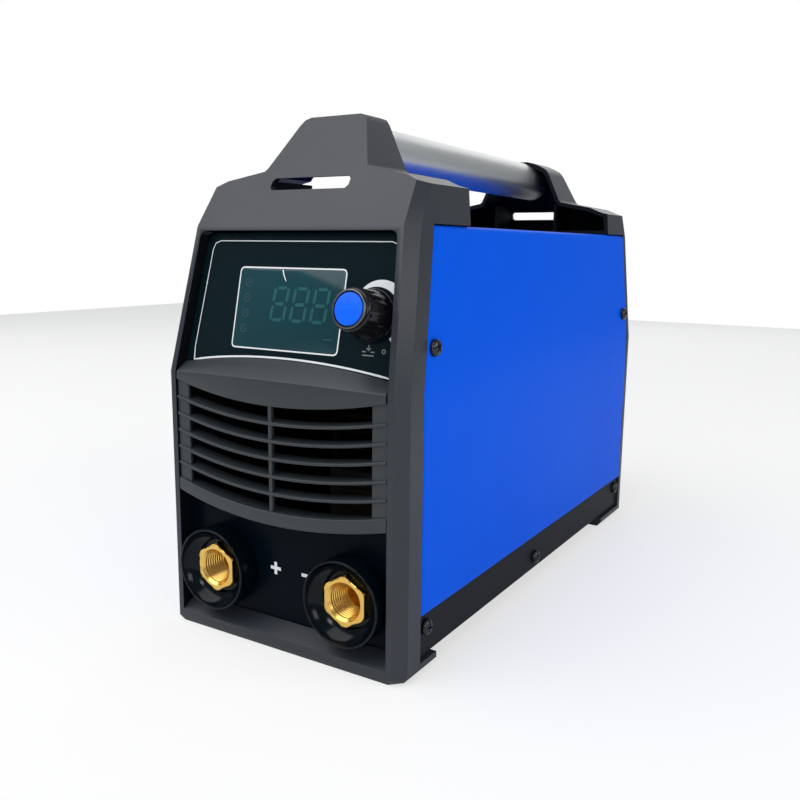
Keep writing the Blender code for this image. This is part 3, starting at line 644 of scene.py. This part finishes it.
def addSheet():
    section = sheetSection()
    count = sheet["stations"]
    points = []
    for i in range(count + 1):
        s = i / count
        for x, z in section:
            front = sheet["front"] + leanAt(min(z, case["creaseHeight"]), case["frontLean"])
            up = min(max(0.0, z - case["bendHeight"]), 66.0) / 66.0
            rear = sheet["rear"] - sheet["rearLean"] * up
            y = front + (rear - front) * s
            ripple = sheetRipple(y, z) if abs(x) > 50.0 and z < 186.0 else 0.0
            points.append(place(x - math.copysign(ripple, x), y, z))
    rows = len(section)
    faces = []
    for i in range(count):
        for j in range(rows - 1):
            faces.append((i * rows + j, (i + 1) * rows + j, (i + 1) * rows + j + 1,
                          i * rows + j + 1))
    mesh = bpy.data.meshes.new("sheetCover")
    mesh.from_pydata([tuple(p) for p in points], [], faces)
    mesh.materials.append(finish("cover_blue"))
    mesh.materials.append(finish("sheet_black"))  # the inner side: near-black, painted shade of the case interior seen through the louvres
    work = bmesh.new()
    work.from_mesh(mesh)
    bmesh.ops.recalc_face_normals(work, faces=work.faces)
    top = max(work.faces, key=lambda face: face.calc_center_median().z)
    if top.normal.z < 0:
        bmesh.ops.reverse_faces(work, faces=work.faces)
    work.to_mesh(mesh)
    work.free()
    obj = linked("sheetCover", mesh)
    wall = obj.modifiers.new("Wall", "SOLIDIFY")
    wall.thickness = sheet["thick"] * 0.001
    wall.offset = -1.0
    wall.use_even_offset = True
    wall.material_offset = 1
    edge = obj.modifiers.new("Edge", "BEVEL")
    edge.width = 0.00018
    edge.segments = 2
    edge.limit_method = "ANGLE"
    edge.angle_limit = math.radians(60)
    evaluated(obj)
    shadeByAngle(obj.data, 40.0)
    finished(obj, "cover_blue", ("side_cover",), painted=True)


addSheet()
print("stage: sheet ready")

# ---- handle tube
handle = {"radius": 11.2, "bore": 9.6, "height": 226.2, "start": 49.5, "end": 271.5,
          "fall": 0.0099}


def addHandle():
    r, bore = handle["radius"], handle["bore"]
    start, end = handle["start"], handle["end"]
    profile = [(r - 0.5, start), (r, start + 0.5)]
    profile += [(r, start + 0.5 + (end - start - 1.0) * i / 24) for i in range(1, 24)]
    profile += [(r, end - 0.5), (r - 0.5, end), (bore, end), (bore, start)]
    base = place(0.0, 0.0, handle["height"] + start * handle["fall"])
    bar = turned("handleBar", profile, base, (0, 1, -handle["fall"]), 96)
    finished(bar, "handle_aluminium", ("handle_tube",))


addHandle()

# ---- louvred vent: a brow, a lower band, posts and curved slats
vent = {
    "half": 57.8, "sag": 6.4, "bulge": 3.4, "slatEnds": 111.3, "slatSag": 5.7, "pitch": 7.8,
    "slats": 5, "slatDepth": 7.6, "slatThick": 1.5, "slatTilt": 4.5, "slatHalf": 57.2,
    "slatStations": 41,
    "postInner": 50.6, "bandTop": 72.6, "bandLow": 66.2, "browLow": 119.2, "crestRise": 1.2,
}


def ventDrop(x):
    return vent["sag"] * (1.0 - (x / vent["half"]) ** 2)


def ventBulge(x):
    return -vent["bulge"] * (1.0 - (x / vent["half"]) ** 2)


def rounded(corners, radius, steps=3):
    # rounds the corners of a closed outline
    out = []
    count = len(corners)
    for i in range(count):
        here = Vector(corners[i])
        back = Vector(corners[i - 1]) - here
        ahead = Vector(corners[(i + 1) % count]) - here
        r = radius[i] if isinstance(radius, (list, tuple)) else radius
        r = min(r, back.length * 0.45, ahead.length * 0.45)
        a = here + back.normalized() * r
        b = here + ahead.normalized() * r
        for k in range(steps + 1):
            t = k / steps
            out.append(tuple(a * (1 - t) ** 2 + here * (2 * t * (1 - t)) + b * t ** 2))
    return out


def browOutline(x):
    low = vent["browLow"] - ventDrop(x)
    crown = 1.0 - (x / vent["half"]) ** 2
    arch = 127.2 + 4.6 * crown
    crest = case["bendHeight"] + vent["crestRise"] * crown
    top = leanAt(arch, case["frontLean"])
    bow = ventBulge(x)
    return rounded([(7.0, 118.0), (4.8, low), (bow + 0.05, low), (bow, crest),
                    (top + 5.0, arch)], (0.4, 0.3, 0.9, 0.7, 0.3))


def bandOutline(x):
    top = vent["bandTop"] - ventDrop(x)
    low = vent["bandLow"] - ventDrop(x)
    bow = ventBulge(x)
    return rounded([(6.5, low), (bow + 0.2, low), (bow, top), (6.5, top)], (0.4, 1.0, 0.8, 0.4))


def swept(name, outline, half, count):
    loops = []
    for i in range(count + 1):
        x = -half + 2 * half * i / count
        loops.append([place(x, y, z) for y, z in outline(x)])
    return lofted(name, loops, 38.0)


def slatTree():
    tree = Tree("curvedSlats", {
        "Float": ("Half length", "Sag", "Bulge", "Depth", "Thickness", "Tilt", "Pitch"),
        "Int": ("Slats", "Stations")})
    half = tree.input("Half length")
    bar = tree.node("GeometryNodeCurvePrimitiveLine", {},
                    {"Start": tree.vector(X=tree.math("MULTIPLY", half, -1.0)),
                     "End": tree.vector(X=half)})
    bar = tree.node("GeometryNodeResampleCurve", {},
                    {"Curve": bar.outputs[0], "Count": tree.input("Stations")})
    spot = tree.node("ShaderNodeSeparateXYZ", {},
                     {0: tree.node("GeometryNodeInputPosition").outputs[0]})
    share = tree.math("DIVIDE", spot.outputs[0], half)
    crown = tree.math("SUBTRACT", 1.0, tree.math("MULTIPLY", share, share))
    drop = tree.math("MULTIPLY", tree.math("MULTIPLY", crown, tree.input("Sag")), -1.0)
    bow = tree.math("MULTIPLY", tree.math("MULTIPLY", crown, tree.input("Bulge")), -1.0)
    bar = tree.node("GeometryNodeSetPosition", {},
                    {"Geometry": bar.outputs[0], "Offset": tree.vector(Y=bow, Z=drop)})
    bar = tree.node("GeometryNodeSetCurveNormal", {"mode": "Z_UP"}, {"Curve": bar.outputs[0]})
    blade = tree.node("GeometryNodeCurvePrimitiveQuadrilateral", {"mode": "RECTANGLE"},
                      {"Width": tree.input("Depth"), "Height": tree.input("Thickness")})
    blade = tree.node("GeometryNodeFilletCurve", {"mode": "POLY"},
                      {"Curve": blade.outputs[0], "Count": 3,
                       "Radius": tree.math("MULTIPLY", tree.input("Thickness"), 0.42)})
    blade = tree.node("GeometryNodeTransform", {},
                      {"Geometry": blade.outputs[0], "Rotation": tree.vector(Z=tree.input("Tilt"))})
    slat = tree.node("GeometryNodeCurveToMesh", {},
                     {"Curve": bar.outputs[0], "Profile Curve": blade.outputs[0],
                      "Fill Caps": True})
    step = tree.vector(Z=tree.math("MULTIPLY", tree.input("Pitch"), -1.0))
    row = tree.node("GeometryNodeMeshLine", {}, {"Count": tree.input("Slats"), "Offset": step})
    copies = tree.node("GeometryNodeInstanceOnPoints", {},
                       {"Points": row.outputs[0], "Instance": slat.outputs[0]})
    tree.close(copies.outputs[0])
    return tree


def addVent():
    half = case["openingHalf"] - 0.35
    parts = [swept("brow", browOutline, half - 0.5, 48), swept("band", bandOutline, half, 48)]
    inner = vent["postInner"]
    for sign in (-1, 1):
        corners = rounded([(sign * inner, 0.6), (sign * half, 0.9), (sign * half, 3.0),
                           (sign * inner, 2.2)], 0.3)
        loops = [[place(x, y, z) for x, y in corners] for z in (67.5, 119.6)]
        parts.append(lofted("post", loops))
    centre = rounded([(-0.95, -2.6), (0.95, -2.6), (0.95, -0.4), (-0.95, -0.4)], 0.4)
    parts.append(lofted("post", [[place(x, y, z) for x, y in centre] for z in (62.5, 115.5)]))
    lengths = {"Half length": "slatHalf", "Sag": "slatSag", "Bulge": "bulge",
               "Depth": "slatDepth", "Thickness": "slatThick", "Pitch": "pitch"}
    slats = slatTree().apply("slats", {
        **{label: vent[key] * 0.001 for label, key in lengths.items()},
        "Tilt": math.radians(vent["slatTilt"]), "Slats": vent["slats"],
        "Stations": vent["slatStations"], "Finish": finish("grille_black")})
    slats.data.transform(Matrix.Translation(
        place(0.0, vent["slatDepth"] / 2 + 0.15, vent["slatEnds"])))
    whole = joined("ventLouvres", parts + [slats])
    shadeByAngle(whole.data, 34.0)
    finished(whole, "grille_black", ("vent_grille",))


addVent()
print("stage: vent ready")

# ---- weld sockets: a dished cup, a brass hexagon and its bore
socketLook = {"x": 36.7, "height": 31.8, "radius": 19.2, "front": -3.4, "bore": 7.6,
              "flats": 20.6, "mouth": 8.7}


def addSocket(side, x):
    centre = place(x, 0.0, socketLook["height"])
    front = socketLook["front"]
    r = socketLook["radius"]
    lip = arcPoints((r - 0.55, front + 0.55), 0.55, 0.0, -180.0, 8)
    dish = [(17.9, front + 1.0), (17.3, front + 2.3), (16.2, front + 3.8), (14.6, front + 5.2),
            (12.9, front + 6.1)]
    profile = ([(11.8, 7.6), (r - 0.4, 7.6), (r, 7.2)] + lip + dish
               + [(12.5, front + 8.0), (9.3, 4.9), (9.3, 24.0), (11.8, 24.0)])
    name = "cup_" + side
    cup = turned(name, profile, centre, (0, 1, 0), 112, 34.0)
    finished(cup, "socket_black", ("socket_cup_" + side,))
    addInsert(side, centre)


def addInsert(side, centre):
    # a hexagon whose corners are turned down, with a stepped bore
    flats = socketLook["flats"] / 2
    corner = flats / math.cos(math.pi / 6)
    bore = socketLook["bore"]
    mouth = socketLook["mouth"]
    levels = [(corner, 4.6), (corner, 1.0), (flats + 0.9, 0.42), (flats - 0.3, 0.2),
              (mouth + 0.1, 0.2), (mouth, 0.3), (bore, 1.5)]
    for turn in range(8):  # thread
        start = 2.4 + turn * 1.5
        levels += [(bore, start), (bore - 0.35, start + 0.35), (bore - 0.35, start + 0.75),
                   (bore, start + 1.1)]
    levels += [(bore - 0.1, 25.6), (0.0, 25.8)]
    tail = [(9.0, 4.6), (9.0, 32.6), (8.4, 33.0), (0.0, 33.0)]

    def flatSides(turn, distance, radius):
        part = (turn - math.pi / 6) % (math.pi / 3) - math.pi / 6
        return max(0.0, radius - flats / math.cos(part)) if radius > mouth + 0.5 else 0.0

    insert = turned("brassInsert_" + side, tail[::-1] + levels, centre, (0, 1, 0), 96, 24.0,
                    flatSides)
    finished(insert, "brass", ("socket_insert_" + side,))


addSocket("positive", -socketLook["x"])
addSocket("negative", socketLook["x"])


signs = {"plus": -6.6, "minus": 11.2, "up": 35.4, "arm": 2.95, "width": 1.55}


def addSigns():
    arm, up, plus, minus = signs["arm"], signs["up"], signs["plus"], signs["minus"]
    strokes = {
        "signPlus": ([(plus - arm, up), (plus + arm, up)], 0.02),
        "signPlusUpright": ([(plus, up - arm), (plus, up + arm)], 0.03),
        "signMinus": ([(minus - arm, up), (minus + arm, up)], 0.02),
    }
    for name, (path, level) in strokes.items():
        printed(name, [line(path, signs["width"])], onPanel, level, slot="panel_black")


addSigns()
print("stage: sockets ready")

# ---- display: a tinted window, printed outlines, faint digits and symbols
display = {"depth": 5.2, "window": (-30.4, 27.8, 14.1, 50.2), "line": 0.42, "archLine": 0.85,
           "windowLine": 0.62}


def roundedBox(left, right, low, high, radius, steps=5):
    return rounded([(left, low), (right, low), (right, high), (left, high)], radius, steps)


def addWindow():
    left, right, low, high = display["window"]
    face = -display["depth"]
    outline = roundedBox(left, right, low, high, 2.2)
    levels = ((0.0, face - 0.85), (0.0, face + 0.02), (0.15, face + 0.1))
    loops = []
    for inset, level in levels:
        ring = roundedBox(left + inset, right - inset, low + inset, high - inset, 2.2)
        loops.append([onDisplay(x, along, level) for x, along in ring])
    finished(lofted("displayWindow", loops), "window_tint", ("display_window",))
    printed("windowOutline", [line(outline, display["windowLine"], True)], onDisplay,
            face + 0.06)


def overlayHalf(along):
    return case["openingHalf"] - case["sideTaper"] * along * 0.976


def addOverlayPrint():
    face = -display["depth"] + 0.02
    low, top, corner = 6.3, 62.1, 4.0
    left, right = 4.6, 1.3  # how far each side line stands in from the edge
    arch = []
    for i in range(27):
        x = -52.2 + 107.2 * i / 26
        dip = 0.5 * (x / 52.0) ** 4 if x < 0 else 0.0
        arch.append((x, low + 4.5 * (1.0 - (x / 57.8) ** 2) - dip))
    rightSide = [(overlayHalf(along) - right, along) for along in (low + 6.0, 30.0, top - corner)]
    bend = [(overlayHalf(top) - right - 0.9, top - 1.1), (overlayHalf(top) - right - corner, top)]
    leftBend = [(-overlayHalf(top) + left + corner, top),
                (-overlayHalf(top) + left + 0.9, top - 1.1)]
    leftSide = [(-overlayHalf(along) + left, along) for along in (top - corner, 30.0, low + 6.0)]
    path = arch + rightSide + bend + leftBend + leftSide
    widths = [display["archLine"]] * len(arch)
    widths += [display["line"]] * (len(path) - len(arch))
    printed("faciaOutline", [line(path, widths, True)], onDisplay, face)
    tick = [(-6.3, 49.4), (-5.6, 47.4), (-4.6, 45.6), (-3.8, 44.4)]
    printed("windowTick", [line(tick, [0.6, 0.55, 0.45, 0.25])], onDisplay, face + 0.12)


readout = {"digits": 3, "left": -10.2, "pitch": 11.0, "low": 26.6, "wide": 7.2, "tall": 15.6,
           "bar": 1.5, "lean": 0.09, "marks": 4, "markX": -24.8, "markTop": 43.4,
           "markPitch": 6.9, "markRadius": 1.7}


def segmentShapes(x):
    # the seven bars of one unlit digit, leaning a little
    low, wide, tall, t = (readout[key] for key in ("low", "wide", "tall", "bar"))
    shapes = []
    for y in (low + 0.5 * t, low + tall / 2, low + tall - 0.5 * t):
        shapes.append([(x + 0.9, y), (x + 1.6, y + t / 2), (x + wide - 1.6, y + t / 2),
                       (x + wide - 0.9, y), (x + wide - 1.6, y - t / 2), (x + 1.6, y - t / 2)])
    for cx in (x, x + wide):
        for base in (low, low + tall / 2):
            top = base + tall / 2
            shapes.append([(cx, base + 0.7), (cx + t / 2, base + 1.4), (cx + t / 2, top - 1.4),
                           (cx, top - 0.7), (cx - t / 2, top - 1.4), (cx - t / 2, base + 1.4)])
    return [patch([(u + (v - low) * readout["lean"], v) for u, v in shape]) for shape in shapes]


def ringPath(x, y, radius, count=24):
    return [(x + radius * math.cos(2 * math.pi * i / count),
             y + radius * math.sin(2 * math.pi * i / count)) for i in range(count)]


def addReadout():
    face = -display["depth"] + 0.11
    shapes = []
    for i in range(readout["digits"]):
        shapes += segmentShapes(readout["left"] + readout["pitch"] * i)
    printed("unlitDigits", shapes, onDisplay, face, "digit_tint", "window_tint")
    marks = []
    x = readout["markX"]
    for i in range(readout["marks"]):
        along = readout["markTop"] - readout["markPitch"] * i
        marks.append(line(ringPath(x, along, readout["markRadius"]), 0.35, True))
        marks.append(line([(x - 0.8, along - 0.5), (x, along + 0.7), (x + 0.8, along - 0.5)],
                          0.35))
    marks.append(line([(20.0, 20.4), (24.2, 20.4)], 0.4))
    marks.append(line([(24.6, 44.0), (24.6, 46.4)], 0.4))
    printed("windowSymbols", marks, onDisplay, face, "print_faint", "window_tint")


dial = {"x": 43.8, "along": 31.4, "inner": 12.2, "thick": 4.2}


def addDial():
    # a crescent that is widest above the knob and tapers toward its lower end
    face = -display["depth"] + 0.02
    path = []
    widths = []
    for i in range(41):
        share = i / 40
        turn = math.radians(-46 + 174 * share)
        size = dial["thick"] * math.sin(math.pi * (0.20 + 0.77 * share)) ** 0.8
        radius = dial["inner"] + size / 2
        path.append((dial["x"] + radius * math.cos(turn), dial["along"] + radius * math.sin(turn)))
        widths.append(size)
    crescent = line(path, widths)
    x, stem = dial["x"] - 0.6, dial["along"] - 14.6
    push = [line([(x - 3.0, stem), (x - 1.2, stem)], 0.5),
            line([(x + 1.2, stem), (x + 3.0, stem)], 0.5),
            line([(x, stem + 2.8), (x, stem + 0.6)], 0.5),
            line([(x - 1.0, stem + 1.6), (x, stem + 0.5), (x + 1.0, stem + 1.6)], 0.5),
            line([(x - 2.8, stem - 1.5), (x + 2.8, stem - 1.5)], 0.5),
            line(ringPath(x + 7.4, stem + 0.6, 0.8, 16), 0.5, True)]
    printed("dialCrescent", [crescent], onDisplay, face)
    printed("pushSymbol", push, onDisplay, face, "print_grey")


addWindow()
addOverlayPrint()
addReadout()
addDial()
print("stage: display ready")

# ---- knob: a fluted body, a bright ring and a blue cap on the leaning face
knob = {"base": 11.0, "waist": 10.1, "top": 8.9, "foot": -3.2, "flutes": 16, "flute": 0.26}


def fluted(turn, distance, radius):
    start = knob["foot"] + 3.2
    end = knob["foot"] + 13.8
    if distance < start or distance > end:
        return 0.0
    fade = min(1.0, (distance - start) / 0.8, (end - distance) / 0.8)
    return knob["flute"] * fade * (0.5 - 0.5 * math.cos(knob["flutes"] * turn))


def addKnob():
    centre = onDisplay(dial["x"], dial["along"], 0.0)
    foot = knob["foot"]
    sides = [foot + 3.0 + 11.2 * i / 16 for i in range(17)]
    body = [(3.4, foot), (knob["base"] - 0.3, foot), (knob["base"], foot + 0.3),
            (knob["base"], foot + 1.3), (knob["base"] - 0.3, foot + 1.8), (10.5, foot + 2.1),
            (10.25, foot + 2.5)]
    body += [(knob["waist"] + (knob["top"] - knob["waist"]) * (d - foot - 3.0) / 11.2, d)
             for d in sides]
    body += arcPoints((knob["top"] - 1.0, foot + 14.4), 1.0, 0.0, 90.0, 5)
    body = [(0.0, foot + 15.4)] + body[::-1] + [(3.4, foot + 5.0), (0.0, foot + 5.0)]
    outer = turned("knobBody", body, centre, faceOut, 240, 40.0, fluted)
    finished(outer, "knob_black", ("knob_body",), "knob")
    ring = [(7.9, foot + 15.45), (7.9, foot + 16.3)] + arcPoints((7.5, foot + 16.45), 0.4, 0.0,
                                                                90.0, 4)
    ring += [(7.2, foot + 16.85), (7.1, foot + 16.7), (7.1, foot + 15.45)]
    finished(turned("knobRing", ring, centre, faceOut, 96), "ring_silver", ("knob_ring",), "knob")
    cap = [(0.0, foot + 16.95), (6.0, foot + 16.9), (6.45, foot + 16.75), (6.65, foot + 16.4),
           (6.65, foot + 15.45), (0.0, foot + 15.45)]
    finished(turned("knobCap", cap, centre, faceOut, 96), "cap_blue", ("knob_cap",), "knob")


addKnob()
print("stage: knob ready")

# ---- pan-head screws with a cross recess, five on each side
screw = {
    "radius": 3.7, "height": 2.1, "recess": 1.2, "slot": 0.75, "reach": 2.0,
    "spots": ((24.8, 140.0, 0.7), (21.6, 19.7, -0.9), (142.0, 13.6, -0.9), (279.5, 20.0, -0.9),
              (277.5, 139.0, 0.7)),
}


def screwHead():
    r, tall = screw["radius"], screw["height"]
    profile = [(0.0, -0.5), (r - 0.4, -0.5), (r, -0.2), (r, 0.5), (r * 0.94, 1.1),
               (r * 0.78, 1.65), (r * 0.52, tall - 0.1), (r * 0.25, tall), (0.0, tall)]
    head = turned("screwHead", profile, Vector((0, 0, 0)), (0, 0, 1), 40)
    for turn in (0.0, 90.0):
        cross = bmesh.new()
        bmesh.ops.create_cube(cross, size=1.0)
        bmesh.ops.scale(cross, verts=cross.verts, vec=(screw["reach"] * 0.002,
                                                       screw["slot"] * 0.001, 0.002))
        bmesh.ops.translate(cross, verts=cross.verts,
                            vec=(0, 0, (tall - screw["recess"]) * 0.001 + 0.001))
        bmesh.ops.rotate(cross, verts=cross.verts, cent=(0, 0, 0),
                         matrix=Matrix.Rotation(math.radians(turn), 3, "Z"))
        mesh = bpy.data.meshes.new("cross")
        cross.to_mesh(mesh)
        cross.free()
        tool = linked("cross", mesh)
        step = head.modifiers.new("recess", "BOOLEAN")
        step.operation = "DIFFERENCE"
        step.solver = "EXACT"
        step.object = tool
        evaluated(head)
        bpy.data.objects.remove(tool, do_unlink=True)
    shadeByAngle(head.data, 30.0)
    return head


def screwTree():
    tree = Tree("screwRow", {"Object": ("Head",), "Int": ("Seed",)})
    head = tree.node("GeometryNodeObjectInfo", {}, {"Object": tree.input("Head")})
    facing = tree.node("GeometryNodeInputNamedAttribute", {"data_type": "FLOAT_VECTOR"},
                       {"Name": "facing"})
    aim = tree.node("FunctionNodeAlignRotationToVector", {"axis": "Z"},
                    {"Vector": facing.outputs[0]})
    copies = tree.node("GeometryNodeInstanceOnPoints", {},
                       {"Points": tree.input("Geometry"), "Instance": head.outputs["Geometry"],
                        "Rotation": aim.outputs[0]})
    chance = tree.node("FunctionNodeRandomValue", {"data_type": "FLOAT"},
                       {2: 0.0, 3: math.pi, "Seed": tree.input("Seed")})
    spun = tree.node("GeometryNodeRotateInstances", {},
                     {"Instances": copies.outputs[0], "Rotation": tree.vector(Z=chance.outputs[1])})
    tree.close(spun.outputs[0])
    return tree


def addScrews():
    head = screwHead()
    points = []
    facing = []
    for side in (1, -1):
        for y, z, lift in screw["spots"]:
            points.append(tuple(place(side * (halfWidth(z) + lift), y, z)))
            facing += [float(side), 0.0, 0.0]
    mesh = bpy.data.meshes.new("screwSpots")
    mesh.from_pydata(points, [], [])
    mesh.attributes.new("facing", "FLOAT_VECTOR", "POINT").data.foreach_set("vector", facing)
    obj = screwTree().apply("coverScrews", {"Head": head, "Seed": 7,
                                            "Finish": finish("screw_black")}, mesh)
    bpy.data.objects.remove(head, do_unlink=True)
    names = ["screw_%s_%s" % (spot, side) for side in ("right", "left") for spot in
             ("front_upper", "front_lower", "middle", "rear_lower", "rear_upper")]
    finished(obj, "screw_black", names)


addScrews()
print("stage: screws ready")

# ---- rear fittings: wire guard and cord gland
guardLook = {"inner": 12.0, "step": 9.5, "rings": 4, "wire": 0.8, "height": 64.0, "reach": 46.0}


def ringTree():
    tree = Tree("wireRings", {"Float": ("Inner radius", "Step", "Wire"), "Int": ("Rings",)})
    row = tree.node("GeometryNodeMeshLine", {}, {"Count": tree.input("Rings"),
                                                 "Offset": (0.0, 0.0, 0.0)})
    order = tree.node("GeometryNodeInputIndex").outputs[0]
    size = tree.math("ADD", tree.math("MULTIPLY", order, tree.input("Step")),
                     tree.input("Inner radius"))
    loop = tree.node("GeometryNodeCurvePrimitiveCircle", {}, {"Resolution": 72, "Radius": 1.0})
    rings = tree.node("GeometryNodeInstanceOnPoints", {},
                      {"Points": row.outputs[0], "Instance": loop.outputs[0], "Scale": size})
    rings = tree.node("GeometryNodeRealizeInstances", {}, {"Geometry": rings.outputs[0]})
    wire = tree.node("GeometryNodeCurvePrimitiveCircle", {},
                     {"Resolution": 10, "Radius": tree.input("Wire")})
    drawn = tree.node("GeometryNodeCurveToMesh", {},
                      {"Curve": rings.outputs[0], "Profile Curve": wire.outputs[0]})
    tree.close(drawn.outputs[0])
    return tree


def addGuard():
    wire = guardLook["wire"]
    rings = ringTree().apply("rings", {
        "Inner radius": guardLook["inner"] * 0.001, "Step": guardLook["step"] * 0.001,
        "Rings": guardLook["rings"], "Wire": wire * 0.001, "Finish": finish("guard_steel")})
    rings.data.transform(Matrix.Translation(place(0.0, case["depth"] + 2.8, guardLook["height"]))
                         @ Matrix.Rotation(math.pi / 2, 4, "X"))
    parts = [rings]
    for turn in (45.0, 135.0):
        way = Vector((math.cos(math.radians(turn)), 0.0, math.sin(math.radians(turn))))
        middle = place(0.0, case["depth"] + 1.5, guardLook["height"])
        reach = guardLook["reach"]
        profile = [(0.0, -reach), (wire, -reach + 0.4), (wire, reach - 0.4), (0.0, reach)]
        parts.append(turned("bar", profile, middle, way, 12))
    whole = joined("fanGuard", parts)
    shadeByAngle(whole.data, 40.0)
    finished(whole, "guard_steel", ("fan_guard",))


gland = {"x": 28.0, "height": 150.0, "ribs": 18, "ribDepth": 0.55, "ribStart": 302.9,
         "ribEnd": 310.5}


def addGland():
    profile = [(9.9, 286.0), (9.9, 296.2), (13.7, 296.2), (14.0, 296.5), (14.0, 301.7),
               (13.6, 302.1), (11.8, 302.4), (11.5, 302.9), (11.2, 305.0), (10.7, 308.6),
               (10.2, 310.4), (9.2, 312.1), (8.4, 312.55), (6.0, 312.55), (5.3, 311.8),
               (5.2, 310.8), (5.2, 286.0)]

    def ribs(turn, distance, radius):
        if gland["ribStart"] < distance < gland["ribEnd"]:
            return gland["ribDepth"] * (0.5 - 0.5 * math.cos(gland["ribs"] * turn))
        return 0.0

    centre = place(gland["x"], 0.0, gland["height"])
    body = turned("cordGland", profile, centre, (0, 1, 0), 144, 34.0, ribs)
    finished(body, "gland_nylon", ("cord_gland",))


addGuard()
addGland()
print("stage: rear ready")

for node, obj in frame["nodes"].items():
    for holder in obj.material_slots:
        holder.material = finish(slotOf[node])
